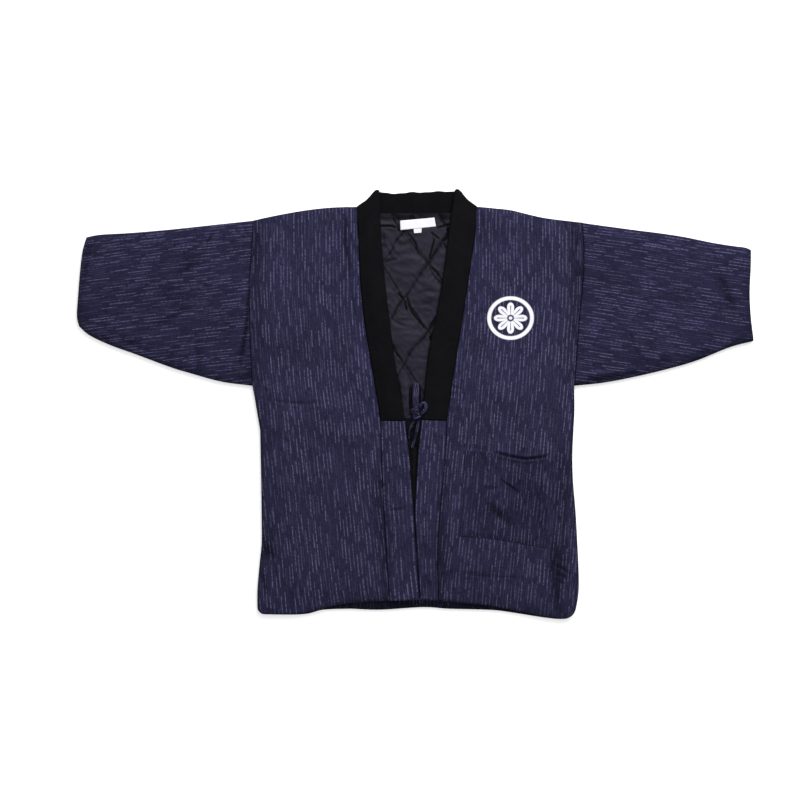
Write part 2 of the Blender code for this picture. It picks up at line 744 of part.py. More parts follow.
def make_fronts():
    """Both fronts, and the pocket on the wearer's left."""
    right, left = front_right_patch(), front_left_patch()
    columns_right = right.bottom.stations((14,))
    columns_left = left.bottom.stations((14,), POCKET_COLUMNS)
    rows_right = right.left.stations((17, 3, 11))
    rows_left = left.right.stations((17, 3, 11), POCKET_ROWS)
    make_front("front_right", right, FRONT_RIGHT_FOLDS, columns_right, rows_right)
    make_front("front_left", left, FRONT_LEFT_FOLDS, columns_left, rows_left)
    make_pocket(
        left, FRONT_LEFT_FOLDS,
        [u for u in columns_left if POCKET_COLUMNS[0] <= u <= POCKET_COLUMNS[1]],
        [v for v in rows_left if POCKET_ROWS[0] <= v <= POCKET_ROWS[1]],
    )


def make_sleeves():
    """Both sleeves."""
    right = Patch(
        Path(SLEEVE_RIGHT_UNDER), Path(SLEEVE_RIGHT_TOP), Path(ARMHOLE_RIGHT),
        Path(SLEEVE_RIGHT_CUFF),
    )
    left = Patch(
        Path(SLEEVE_LEFT_UNDER), Path(SLEEVE_LEFT_TOP), Path(ARMHOLE_LEFT),
        Path(SLEEVE_LEFT_CUFF),
    )
    make_sleeve("sleeve_right", right, SLEEVE_RIGHT_FOLDS, 12, 18)
    make_sleeve("sleeve_left", left, SLEEVE_LEFT_FOLDS, 12, 18)


def make_ties():
    """The bow at the collar's ends: two loops, two tails and the right tie's root."""
    make_knot()
    tie("tie_loop_up", LOOP_UP)
    tie("tie_loop_side", LOOP_SIDE)
    tie("tie_tail_right", TAIL_RIGHT)
    tie("tie_tail_left", TAIL_LEFT)
    tie("tie_root_right", TIE_RIGHT)


def main():
    """Empties the scene and makes the garment."""
    for item in list(bpy.data.objects):
        bpy.data.objects.remove(item, do_unlink=True)
    collection = bpy.data.collections.new("hanten")
    bpy.context.scene.collection.children.link(collection)
    make_back()
    make_fronts()
    make_sleeves()
    make_collar()
    make_band("band_right", Path(SEAM_RIGHT_LOWER), Path(FREE_RIGHT_LOWER))
    make_band("band_left", Path(SEAM_LEFT_LOWER), Path(FREE_LEFT_LOWER))
    make_lining()
    make_label("label", LABEL_EDGES)
    make_label("size_tab", TAB_EDGES)
    make_ties()


main()
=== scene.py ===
"""Dresses a padded hanten that lies flat: dashed cotton, black collar, quilted lining and ties.

The tables are in millimetres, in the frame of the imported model: +X to the wearer's left, +Y from
the hem to the neck, +Z up. The outlines are those of the solids, but for the fronts' hems and the
edges of the lower bands, which follow the real ones more closely.
"""

import logging
import math
from dataclasses import dataclass
from enum import Enum
from typing import Sequence

import bpy
import numpy as np
from bpy.types import Material, Node, NodeSocket, Object
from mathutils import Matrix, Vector


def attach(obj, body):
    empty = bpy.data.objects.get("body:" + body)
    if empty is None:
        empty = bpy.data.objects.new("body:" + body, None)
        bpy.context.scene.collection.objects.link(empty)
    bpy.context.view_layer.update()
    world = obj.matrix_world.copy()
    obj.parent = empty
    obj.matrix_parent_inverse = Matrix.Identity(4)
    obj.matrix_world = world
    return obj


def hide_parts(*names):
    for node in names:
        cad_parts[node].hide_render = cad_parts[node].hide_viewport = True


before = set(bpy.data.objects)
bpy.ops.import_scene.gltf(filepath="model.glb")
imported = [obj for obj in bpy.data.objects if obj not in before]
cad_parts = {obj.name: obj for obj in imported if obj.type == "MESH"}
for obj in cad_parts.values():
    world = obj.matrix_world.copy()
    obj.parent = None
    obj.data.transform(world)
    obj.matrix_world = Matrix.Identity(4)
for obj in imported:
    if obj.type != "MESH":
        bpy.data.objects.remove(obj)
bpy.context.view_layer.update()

log = logging.getLogger("hanten")

MM = 0.001
Array = np.ndarray
Line = Sequence[tuple[float, float]]

# Heights and walls of the solids
BACK_WALL = 7.0
LAY = 7.3
FRONT_EDGE_WALL = 5.0
FRONT_LOFT = 4.5
SLEEVE_UNDER_WALL = 5.2
SLEEVE_SLIT = 1.4
SLEEVE_EDGE_WALL = 5.4
SLEEVE_LOFT = 4.0
LINING_GROOVE_WALL = 1.6
LINING_PUFF = 2.9
LINING_TOP = LAY + LINING_GROOVE_WALL + LINING_PUFF
COLLAR_WALL = 7.0
COLLAR_SEAM_MID = LAY + 4.0
COLLAR_FREE_MID = LINING_TOP + 0.7 + COLLAR_WALL / 2
BAND_FREE_MID_AT_HEM = LAY + 4.4
BAND_DROP_TOP = -240.0
BAND_DROP_BOTTOM = -290.0
LABEL_HEIGHT = LINING_TOP + 0.3
LABEL_WALL = 1.0
LAY_GAP = 0.3
SEAM_GAP = 0.6
SWELL_WIDTH = 20.0
POCKET_COLUMNS = (0.15, 0.785)
POCKET_ROWS = (0.37, 0.84)

# The quilting's diamonds
DIAMOND_WIDTH = 88.0
DIAMOND_LENGTH = 128.0
DIAMOND_X = 24.0
DIAMOND_Y = 268.0

# The round print
PRINT_X = 184.0
PRINT_Y = 165.0
PRINT_WIDTH = 91.0
PRINT_HEIGHT = 85.0
PRINT_WHITE = "#eeedf4"

# The camera looks straight down from far away; the view is this wide where the garment lies
VIEW_WIDTH = 1.536
VIEW_X = -0.028
VIEW_Y = 0.0079
CAMERA_HEIGHT = 3.4
GARMENT_LEVEL = 0.012
SENSOR = 36.0

# Grid lines near a rim, how much wrinkles and settled padding show, and wrinkles' painted shade
RIM_LINES = (0.35, 1.0, 2.0, 3.4)
WRINKLE_GAIN = 1.3
WRINKLE_DARK = 1.15
SETTLED_GAIN = 0.32

# The body's lower corners: the corner, how its tip moves and how far from it points still move
LOWER_CORNERS = (((-302, -404), (4.2, 4.2), 15.0), ((307, -409), (-3.4, 3.4), 18.0))

# Where each front's seam with the collar ends, in the fold of the shoulder
SEAM_END_RIGHT = (-108.8, 379.4)
SEAM_END_LEFT = (117.2, 379.4)

# How far stitches run from a seam, and how wide their line is
STITCH_PLACE = 3.4
STITCH_WIDTH = 1.1

SIDE_RIGHT_LOWER = [
    (-302, -404), (-302, -357), (-298, -309), (-294, -267), (-294, -223), (-295, -146),
    (-297, -50),
]
SIDE_RIGHT_MIDDLE = [(-297, -50), (-303, -15), (-308, 15), (-312, 35)]
ARMHOLE_RIGHT = [(-312, 35), (-316, 123), (-318, 208), (-315, 277), (-310, 353)]
SIDE_LEFT_LOWER = [
    (307, -409), (314.5, -367), (315.5, -328), (312.5, -261), (309.5, -207), (304.5, -146),
    (303.5, -98), (305.5, -50),
]
SIDE_LEFT_MIDDLE = [(305.5, -50), (307.5, -11), (307, 35)]
ARMHOLE_LEFT = [(307, 35), (310, 75), (316, 158), (324, 242), (325, 300), (322, 349)]
SHOULDER_RIGHT = [
    (-310, 353), (-274, 361), (-220, 371), (-172, 377), (-135, 379), (-121, 378), (-109.5, 371.5),
]
SHOULDER_LEFT = [
    (118.5, 371.5), (130, 378), (158, 376), (185, 373), (222, 364), (256, 357), (322, 349),
]
NECK_SEAM = [
    (-109.5, 371.5), (-96, 364), (-66, 357), (-30, 355), (5, 354), (40, 355), (76, 357),
    (105, 364), (118.5, 371.5),
]
NECK_FREE = [
    (-67, 409), (-55, 406.5), (-40, 405), (-22, 406.6), (-5, 408), (24, 408), (42, 409.8),
    (60, 409), (77, 410.5),
]
HEM_BACK_RIGHT = [(-302, -404), (-239, -405.5), (-205, -403.5), (-176, -396), (-124, -394)]
HEM_BACK_MIDDLE = [(-124, -394), (-66, -396), (16, -391), (62, -394), (104, -395)]
HEM_BACK_LEFT = [(104, -395), (156, -397), (199, -403), (250, -411), (285, -414), (307, -409)]
HEM_FRONT_RIGHT = [
    (-302, -404), (-239, -404.5), (-203, -400), (-143, -385.5), (-96, -381), (-48, -378.5),
]
HEM_FRONT_LEFT = [
    (46, -378.5), (106, -384), (143, -388), (199, -398), (250, -409), (285, -413), (307, -409),
]
SEAM_RIGHT_LOWER = [(-47.5, -378.5), (-52.5, -310), (-58, -216), (-62.5, -133), (-65, -32)]
SEAM_RIGHT_MIDDLE = [(-65, -32), (-72, 10), (-78, 50)]
SEAM_RIGHT_UPPER = [
    (-78, 50), (-88, 104), (-97, 165), (-103, 219), (-107, 296), (-109.5, 345), (-109.5, 371.5),
]
FREE_RIGHT_LOWER = [
    (9.3, -376.5), (5.8, -328), (2.6, -276), (-2.1, -200), (-5.4, -160), (-10.4, -96), (-18, -32),
]
FREE_RIGHT_MIDDLE = [(-18, -32), (-25, 10), (-32, 52)]
FREE_RIGHT_UPPER = [
    (-32, 52), (-41, 108), (-48, 165), (-55, 222), (-62, 300), (-65, 352), NECK_FREE[0],
]
SEAM_LEFT_LOWER = [(46, -378.5), (44, -286), (50, -192), (58.5, -105), (61, -32)]
SEAM_LEFT_MIDDLE = [(61, -32), (68, 10), (74, 50)]
SEAM_LEFT_UPPER = [
    (74, 50), (82, 104), (92, 165), (101, 222), (111, 290), (117, 340), (118.5, 371.5),
]
FREE_LEFT_LOWER = [
    (10.8, -374), (7.3, -328), (4.3, -280), (1.4, -238), (-0.1, -205), (1.5, -172), (4.8, -119),
    (8.3, -75), (12.8, -30),
]
FREE_LEFT_MIDDLE = [(12.8, -30), (17, 10), (21, 50)]
FREE_LEFT_UPPER = [
    (21, 50), (27, 104), (40, 165), (50.5, 222), (60, 290), (67, 345), NECK_FREE[-1],
]
SLEEVE_RIGHT_TOP = [
    (-310, 353), (-381, 345.5), (-470, 336), (-546, 329.5), (-604, 326), (-631, 321),
]
SLEEVE_RIGHT_CUFF = [
    (-645, 149), (-649, 169), (-647, 204), (-643, 254), (-638.5, 292), (-631, 321),
]
SLEEVE_RIGHT_UNDER = [
    (-312, 35), (-372, 43), (-433, 59.5), (-472, 71.5), (-535, 95), (-585, 113), (-625, 132),
    (-645, 149),
]
SLEEVE_LEFT_TOP = [
    (322, 349), (372, 342), (424, 335), (472, 329), (520, 321.5), (574, 310.5), (615, 304),
    (635, 301.5), (647, 297),
]
SLEEVE_LEFT_CUFF = [(652, 121), (646, 171), (644, 217), (646, 257), (647, 297)]
SLEEVE_LEFT_UNDER = [(307, 35), (364, 41), (427, 53), (490, 68), (544, 84), (606, 109), (652, 121)]
LINING_RIGHT = [
    (-20, -228), (-24, -150), (-33, -60), (-45, 10), (-61, 108), (-75, 222), (-82, 300),
    (-85, 367),
]
LINING_LEFT = [
    (24, -228), (26, -150), (32, -60), (37, 10), (47, 104), (70, 222), (80, 290), (88, 367),
]
LABEL_UPPER = [(-28, 352), (38, 358)]
LABEL_LOWER = [(-27, 334), (41, 341)]
TAB_UPPER = [(-2, 336.2), (13.6, 337.8)]
TAB_LOWER = [(-1, 328), (13, 329)]


def smoothstep(low: float, high: float, value: Array) -> Array:
    """A soft step from 0 to 1 as values pass from low to high."""
    t = np.clip((value - low) / (high - low), 0.0, 1.0)
    return t * t * (3 - 2 * t)


def bell(value: Array, middle: float, width: float) -> Array:
    """A soft hump of 1 around a middle."""
    return np.exp(-(((value - middle) / width) ** 2))


def swell(distance: Array) -> Array:
    """How far the padding has risen at a distance from a seam, from 0 to 1."""
    return 1 - bell(distance, 0.0, SWELL_WIDTH)


def round_rim(distance: Array, radius: float | Array) -> Array:
    """The share of a wall's thickness left at a distance from a rounded rim."""
    inward = 1 - np.clip(distance / radius, 0.0, 1.0)
    return 0.10 + 0.90 * np.sqrt(1 - inward**2)


def dark_rim(near: Array, reach: float | Array, most: float) -> Array:
    """How much shade is painted on a rim at a distance from it, from most down to 0."""
    return most * smoothstep(reach, 0.0, near)


def darkest(*shades: Array) -> Array:
    """The darkest of some shades at each point."""
    return np.maximum.reduce(np.broadcast_arrays(*shades))


def turned(points: Array, degrees: float) -> tuple[Array, Array]:
    """How far points lie along and across a direction."""
    turn = math.radians(degrees)
    x, y = points[..., 0], points[..., 1]
    return x * math.cos(turn) + y * math.sin(turn), -x * math.sin(turn) + y * math.cos(turn)


def lengths_along(points: Array) -> Array:
    """The length of a line up to each of its points."""
    return np.concatenate(([0.0], np.cumsum(np.linalg.norm(np.diff(points, axis=0), axis=1))))


def rumple(
    points: Array, seed: int, wavelength: float, stretch: float = 1.0, grain: float = 90.0,
    waves: int = 26,
) -> Array:
    """A soft uneven field, from waves of about one length in seeded directions.

    Args:
        points: an array of points in millimetres whose last axis holds x and y.
        seed: chooses the waves.
        wavelength: about how long they are.
        stretch: how much longer they are along the grain than across it.
        grain: the grain's direction in degrees.
        waves: how many there are.

    Returns:
        The value at each point, mostly between -1 and 1.
    """
    random = np.random.default_rng(seed)
    total = np.zeros(points.shape[:-1])
    along, across = turned(points, grain)
    for _ in range(waves):
        angle, phase = random.uniform(0, math.tau, 2)
        number = math.tau / (wavelength * random.uniform(0.7, 1.6))
        way = along / stretch * math.cos(angle) + across * math.sin(angle)
        total += np.cos(number * way + phase)
    return total / math.sqrt(waves) * 0.8


def smooth_line(spots: Line) -> tuple[Array, Array]:
    """A Catmull-Rom line through spots.

    Args:
        spots: the points in millimetres.

    Returns:
        The line's points, and the length up to each.
    """
    line = np.array(spots, float)
    padded = np.vstack((2 * line[0] - line[1], line, 2 * line[-1] - line[-2]))
    t = (np.arange(1, 17) / 16)[:, None]
    pieces = [line[:1]]
    for before, start, end, after in zip(padded, padded[1:], padded[2:], padded[3:]):
        pieces.append(
            0.5 * (
                2 * start + (end - before) * t
                + (2 * before - 5 * start + 4 * end - after) * t**2
                + (3 * start - before - 3 * end + after) * t**3
            )
        )
    points = np.vstack(pieces)
    return points, lengths_along(points)


class Outline:
    """A smooth line in one or more spans, which meet at whole numbers of its parameter."""

    def __init__(self, *spans: Line) -> None:
        """Takes the spots of each span."""
        self.spans = [smooth_line(spots) for spots in spans]
        self.lengths = np.array([lengths[-1] for _, lengths in self.spans])

    def at(self, t: Array) -> Array:
        """The line's points, measured by length within each span.

        Args:
            t: their parameters.

        Returns:
            The points in millimetres.
        """
        index = np.minimum(t.astype(int), len(self.spans) - 1)
        found = np.empty(t.shape + (2,))
        for number, (points, lengths) in enumerate(self.spans):
            here = index == number
            wanted = (t[here] - number) * lengths[-1]
            for axis in (0, 1):
                found[here, axis] = np.interp(wanted, lengths, points[:, axis])
        return found

    def share(self, t: Array) -> Array:
        """How much of the whole length lies before each parameter."""
        index = np.minimum(t.astype(int), len(self.spans) - 1)
        before = np.concatenate(([0.0], np.cumsum(self.lengths)))
        return (before[index] + (t - index) * self.lengths[index]) / self.lengths.sum()

    def stations(self, step: float, rims: Sequence[float] = RIM_LINES) -> Array:
        """Parameters for the lines of a grid.

        Args:
            step: the usual spacing in millimetres.
            rims: the distances from both ends at which there is a line too.

        Returns:
            The parameters, in order.
        """
        found = [0.0]
        for number, length in enumerate(self.lengths):
            count = max(1, round(length / step))
            found.extend(number + (np.arange(count) + 1) / count)
        last = float(len(self.spans))
        near = [distance / self.lengths[0] for distance in rims]
        far = [last - distance / self.lengths[-1] for distance in rims]
        inner = [t for t in found if max(near) * 1.3 < t < last - (last - min(far)) * 1.3]
        return np.array(sorted({0.0, last, *near, *far, *inner}))

    def field(self, points: Array) -> tuple[Array, Array]:
        """The true distance of points from the line, and how far along it they lie.

        Args:
            points: an array of points in millimetres whose last axis holds x and y.

        Returns:
            The distances, and the lengths along the line.
        """
        line = np.vstack([part[0][::4] for part in self.spans] + [self.spans[-1][0][-1:]])
        start, step = line[:-1], np.diff(line, axis=0)
        keep = np.hypot(*step.T) > 1e-9
        start, step = start[keep], step[keep]
        sizes = np.hypot(*step.T)
        before = np.concatenate(([0.0], np.cumsum(sizes)))[:-1]
        flat = points.reshape(-1, 2)
        nearest_yet = np.full(len(flat), np.inf)
        along = np.zeros(len(flat))
        for origin, move, size, base in zip(start, step, sizes, before):
            offset = flat - origin
            share = np.clip(offset @ move / size**2, 0.0, 1.0)
            distance = np.hypot(*(offset - share[:, None] * move).T)
            closer = distance < nearest_yet
            nearest_yet = np.where(closer, distance, nearest_yet)
            along = np.where(closer, base + share * size, along)
        shape = points.shape[:-1]
        return nearest_yet.reshape(shape), along.reshape(shape)


@dataclass(frozen=True)
class Patch:
    """A flat region between four outlines, drawn in by half a seam's gap.

    The bottom and top outlines run with +X, the left and right ones with +Y.
    """

    bottom: Outline
    top: Outline
    left: Outline
    right: Outline

    def points(self, u: Array, v: Array) -> Array:
        """The patch's points.

        Args:
            u: the parameters of its columns.
            v: the parameters of its rows.

        Returns:
            An array of rows by columns by 2, in millimetres.
        """
        across = ((self.bottom.share(u) + self.top.share(u)) / 2)[None, :, None]
        up = ((self.left.share(v) + self.right.share(v)) / 2)[:, None, None]
        ends = np.array((0.0, float(len(self.bottom.spans))))
        low, high = (
            start * (1 - across) + end * across
            for start, end in (self.bottom.at(ends), self.top.at(ends))
        )
        spots = (
            self.bottom.at(u)[None] * (1 - up) + self.top.at(u)[None] * up
            + self.left.at(v)[:, None] * (1 - across) + self.right.at(v)[:, None] * across
            - low * (1 - up) - high * up
        )
        middle = spots.mean(axis=(0, 1))
        for edge in (spots[0], spots[-1], spots[:, 0], spots[:, -1]):
            inward = middle - edge
            edge += inward / np.linalg.norm(inward, axis=-1, keepdims=True) * SEAM_GAP / 2
        return spots


def trough(distance: Array) -> Array:
    """The section of a crease, with a low shoulder at each side."""
    return np.exp(-(distance**2)) - 0.35 * np.exp(-((distance - 2.1) ** 2))


@dataclass(frozen=True)
class Crease:
    """A crease or soft ridge of the cloth, in millimetres; a negative rise is a trough."""

    x0: float
    y0: float
    x1: float
    y1: float
    width: float
    rise: float

    def height(self, points: Array) -> Array:
        """The height that the crease adds.

        Args:
            points: an array of points whose last axis holds x and y.

        Returns:
            The height at each point.
        """
        start, end = np.array((self.x0, self.y0)), np.array((self.x1, self.y1))
        along = end - start
        length = float(np.hypot(*along))
        axis, side = along / length, np.array((-along[1], along[0])) / length
        offset = points - start
        share = (offset @ axis) / length
        inside = np.clip(share, 0.0, 1.0)
        distance = np.hypot(offset @ side, (share - inside) * length) / self.width
        fade = np.clip(1 - np.abs(2 * inside - 1) ** 2.5, 0.0, 1.0)
        return self.rise * fade * trough(distance)


@dataclass(frozen=True)
class Wrinkle:
    """A fine wrinkle along a bent line, in millimetres; a negative rise is a trough."""

    width: float
    rise: float
    line: list[tuple[float, float]]

    def height(self, points: Array) -> Array:
        """The height that the wrinkle adds.

        Args:
            points: an array of points whose last axis holds x and y.

        Returns:
            The height at each point.
        """
        spots = points.reshape(-1, 2)
        line = np.array(self.line, float)
        reach = self.width * 4
        near = np.all((spots > line.min(0) - reach) & (spots < line.max(0) + reach), axis=1)
        found = np.zeros(len(spots))
        if near.any():
            outline = Outline(self.line)
            distance, along = outline.field(spots[near])
            share = along / outline.lengths.sum()
            fade = np.clip(1 - np.abs(2 * share - 1) ** 3, 0.0, 1.0)
            found[near] = self.rise * fade * trough(distance / self.width)
        return found.reshape(points.shape[:-1])


@dataclass(frozen=True)
class Shade:
    """A soft patch of painted shade in millimetres, where the cloth turns out of the light."""

    x: float
    y: float
    half_width: float
    half_height: float
    most: float

    def dark(self, points: Array) -> Array:
        """How dark it makes each point."""
        across = (points[..., 0] - self.x) / self.half_width
        along = (points[..., 1] - self.y) / self.half_height
        return self.most * np.exp(-(across**2) - along**2)


def creases(*rows: tuple[float, ...]) -> list[Crease]:
    """The creases of a table."""
    return [Crease(*row) for row in rows]


def wrinkles(*rows: tuple) -> list[Wrinkle]:
    """The wrinkles of a table."""
    return [Wrinkle(width, rise, line) for width, rise, *line in rows]


def shades(*rows: tuple[float, ...]) -> list[Shade]:
    """The patches of painted shade of a table."""
    return [Shade(*row) for row in rows]


# The largest folds, as in the solids: both ends, the width and the rise
FRONT_RIGHT_FOLDS = creases(
    (-305, 330, -309, 90, 16, -1.6), (-122, 352, -118, 205, 12, -1.4),
    (-262, 40, -150, 4, 22, 1.2), (-240, -70, -120, -98, 26, -1.0),
    (-286, -255, -262, -395, 16, -1.8), (-222, -190, -214, -380, 34, 1.2),
    (-130, -250, -112, -384, 28, -1.0),
)
FRONT_LEFT_FOLDS = creases(
    (300, 340, 318, 150, 17, -2.2), (301, 90, 296, -20, 16, -1.2),
    (272, -255, 263, -402, 17, -2.4), (292, -280, 290, -392, 18, 1.3), (150, 40, 235, 20, 26, 1.0),
    (120, -285, 205, -330, 26, -1.3), (165, -150, 200, -176, 13, -1.3),
    (152, -205, 184, -232, 13, -1.2),
)
SLEEVE_RIGHT_FOLDS = creases(
    (-317, 190, -336, 66, 11, -2.4), (-345, 205, -352, 80, 14, 1.4),
    (-404, 276, -462, 236, 13, -2.4), (-375, 300, -440, 262, 18, 1.3),
    (-442, 206, -492, 192, 18, -1.8), (-462, 166, -548, 138, 20, -2.0),
    (-500, 300, -580, 286, 20, -1.6), (-417, 128, -422, 62, 12, -1.8),
    (-632, 312, -640, 246, 14, -1.4), (-520, 250, -600, 226, 26, 1.4),
)
SLEEVE_LEFT_FOLDS = creases(
    (560, 286, 612, 180, 17, -2.4), (586, 276, 632, 190, 17, 1.5), (392, 292, 448, 250, 22, -1.6),
    (400, 210, 500, 178, 28, 1.4), (440, 128, 520, 108, 20, -1.2), (350, 78, 372, 46, 12, -1.6),
    (390, 66, 470, 76, 14, -0.7), (333, 300, 336, 120, 18, 1.2),
)

# Soft patches of painted shade: middle, half width, half height and how dark
FRONT_RIGHT_SHADES = shades(
    (-308, 310, 20, 48, 0.26), (-309, 60, 14, 30, 0.2), (-286, -282, 17, 30, 0.34),
    (-72, -200, 12, 70, 0.14), (-131, 300, 11, 60, 0.16), (-210, 345, 95, 45, 0.1),
)
FRONT_LEFT_SHADES = shades(
    (308, 318, 17, 38, 0.42), (313, 246, 14, 30, 0.36), (305, 165, 12, 48, 0.26),
    (281, -180, 24, 95, 0.37), (118, -328, 80, 24, 0.2), (279, -318, 15, 60, 0.3),
    (58, -285, 16, 50, 0.2), (215, 345, 95, 45, 0.14),
)

# Finer wrinkles, each where the garment has one: width, rise and the points along it
FRONT_RIGHT_WRINKLES = wrinkles(
    (4.2, -1.9, (-129, 374), (-134, 345), (-133, 310), (-127, 272), (-121, 232)),
    (3.4, 0.9, (-126, 372), (-130, 340), (-127, 306)),
    (3, -0.7, (-122, 235), (-117, 195), (-112, 150)),
    (9, -3.2, (-298, -258), (-284, -282), (-268, -299)),
    (6.5, -2.4, (-299, -319), (-290, -340), (-286, -372)),
    (6, -1, (-289, -194), (-285, -223), (-291, -261)),
    (3, -0.8, (-84, -150), (-68, -153), (-53, -151)),
    (4, -0.7, (-193, -138), (-178, -135), (-159, -136)),
    (4, -0.6, (-124, -100), (-109, -109), (-93, -127)),
    (5, -0.8, (-235, -342), (-220, -357), (-212, -378)),
    (6, -1.4, (-293, 35), (-278, 19), (-268, -11)), (5, -1.2, (-303, 42), (-281, 52)),
    (9, 0.7, (-220, 142), (-212, 100), (-214, 62)), (9, -0.6, (-153, 142), (-159, 85)),
    (3, -0.8, (-303, 11), (-262, 6), (-215, 2), (-160, 5)),
    (7, -0.9, (-298, -46), (-262, -60), (-226, -84)),
    (4, 0.7, (-301, 336), (-306, 250), (-307, 160), (-303, 90)),
    (7, -0.8, (-300, 345), (-305, 290), (-307, 225), (-306, 160)),
    (5, 0.8, (-284, 205), (-288, 130), (-286, 70)),
)
FRONT_LEFT_WRINKLES = wrinkles(
    (2.4, -3.8, (150.5, -91), (169.7, -96.8), (192.8, -101.6), (215.8, -105), (236.9, -102.5),
     (258, -98.7)), (3, -0.6, (78, -79), (106, -82), (133, -87), (152, -91)),
    (8, -3.6, (262, -246), (266, -290), (269, -328), (271, -376), (271, -409)),
    (12, -2.0, (282, -246), (281, -300), (284, -352)),
    (12, -1.0, (290, -80), (288, -165), (286, -262)),
    (2.4, -1.6, (265.7, -308.9), (279.2, -313.7), (292.6, -321.4), (300.3, -332)),
    (2.3, -1.4, (269.6, -324.3), (283, -330), (296.4, -337.7)),
    (2.3, -1.1, (273.4, -338.7), (288.8, -345.4)),
    (2.4, -1, (271.5, -293.6), (283, -299.3), (294.5, -299.3)),
    (2.6, -0.8, (66, 34.8), (81.4, 31.9), (96.8, 29)),
    (12, -1.0, (50, -318), (100, -330), (150, -326), (184, -306)),
    (2.6, -0.6, (71.8, 20.4), (89.1, 19.4)),
    (2.6, -0.7, (77.6, -321.4), (106.4, -326.2), (144.8, -330), (202.4, -332.9), (242.7, -337.7)),
    (4, -1, (302, 338), (306, 305), (302, 273)), (2.6, -0.9, (127, 374), (129, 340), (124, 300)),
    (5, -1, (312, 200), (314, 165), (308, 127)), (4, -0.7, (281, 361), (291, 342), (295, 323)),
    (10, 0.7, (202, 46), (218, 8), (216, -40)), (9, -0.6, (106, 142), (116, 85)),
    (4, 0.5, (311, 330), (314, 250), (308, 170), (302, 90)),
    (10, -1.2, (291, 372), (299, 338), (306, 306), (308, 276)),
    (9, -0.9, (309, 278), (312, 240), (311, 198)), (8, -0.9, (302, 222), (302, 165), (299, 105)),
    (5, 0.8, (291, 300), (294, 235), (290, 175)),
)
POCKET_WRINKLES = wrinkles(
    (1.9, -2.2, (164.9, -144.8), (177.4, -153.4), (188.9, -161.1), (200.4, -169.7)),
    (3.2, -1.1, (133.2, -159.2), (148.6, -161.1), (164, -159.2)),
    (7, -2.8, (137, -188), (152, -205), (170, -219), (189, -236)),
    (3.6, -2.2, (150, -196), (160, -212), (172, -224)), (4, -0.8, (122, -127), (129, -146)),
    (8, 0.7, (202, -184), (222, -213)),
)
SLEEVE_RIGHT_WRINKLES = wrinkles(
    (3, -1.3, (-385, 336), (-393, 319), (-404, 304)),
    (7, -1.4, (-402, 314), (-405, 294), (-427, 270), (-454, 249), (-468, 240)),
    (7, 0.7, (-424, 296), (-446, 274), (-470, 256)),
    (3.2, -2.8, (-317, 240), (-320, 190), (-325, 140), (-331, 105), (-338, 62)),
    (5.5, -1.5, (-419, 200), (-446, 178), (-480, 158), (-521, 137), (-552, 133)),
    (9, -3.6, (-332, 40), (-320, 50), (-314, 70)),
    (6, 0.8, (-428, 206), (-452, 187), (-484, 170), (-524, 151)),
    (5, 1, (-317, 165), (-322, 123), (-326, 73)), (6, -1.5, (-418, 130), (-416, 94), (-414, 60)),
    (6, 0.8, (-398, 118), (-396, 84), (-399, 52)), (4, -1.3, (-427, 58), (-410, 64)),
    (7, -2.4, (-622, 316), (-631, 284), (-634, 236)), (4, -0.8, (-610, 292), (-617, 269)),
    (6, -1.2, (-571, 127), (-546, 115), (-521, 113)), (5, -0.8, (-539, 225), (-508, 231)),
    (5, -0.8, (-612, 219), (-602, 192)), (3, -1.2, (-328, 346), (-324, 330), (-331, 315)),
    (3, -0.9, (-345, 338), (-333, 323)), (4, -1.4, (-604, 131), (-581, 117)),
    (6, 0.8, (-358, 273), (-385, 254)),
)
SLEEVE_LEFT_WRINKLES = wrinkles(
    (5, -1.6, (330, 52), (356, 49), (381, 52)),
    (4, -0.9, (379, 52), (433, 60), (487, 76), (533, 92)), (6, -1.4, (467, 81), (496, 87)),
    (5, -1.6, (542, 96), (573, 103)), (4, -1.2, (596, 112), (619, 121), (642, 126)),
    (2.8, -1.0, (412.6, 140.4), (417.4, 121.2), (425.1, 103.9), (434.7, 88.5)),
    (8, -1.7, (572, 262), (583, 236), (598, 206), (611, 172), (618, 142)),
    (9, -2.0, (578, 252), (591, 228), (600, 204), (606, 172)),
    (5, -2.8, (322, 42), (358, 46), (398, 54), (440, 62)), (3.5, -1, (517, 217), (533, 204)),
    (5, -0.8, (435, 92), (452, 113), (463, 127)), (5, -0.8, (546, 142), (581, 127)),
    (8, 0.7, (364, 200), (398, 177)), (7, -0.6, (471, 234), (510, 231)),
)
BAND_RIGHT_WRINKLES = wrinkles(
    (2.4, -0.9, (-60.7, -203.3), (-37.6, -202.4), (-12.7, -198.5)),
    (3, -0.6, (-57, -299), (-32, -292)), (3, -0.5, (-59, -127), (-36, -121)),
)
BAND_LEFT_WRINKLES = wrinkles(
    (2.6, -0.7, (12.3, -63.2), (35.3, -61.2), (58.4, -65.1)), (3, -0.6, (10, -207), (31, -213)),
    (3, -0.6, (14, -334), (37, -328)), (10, -2.6, (10, -374), (17, -354), (30, -338)),
)
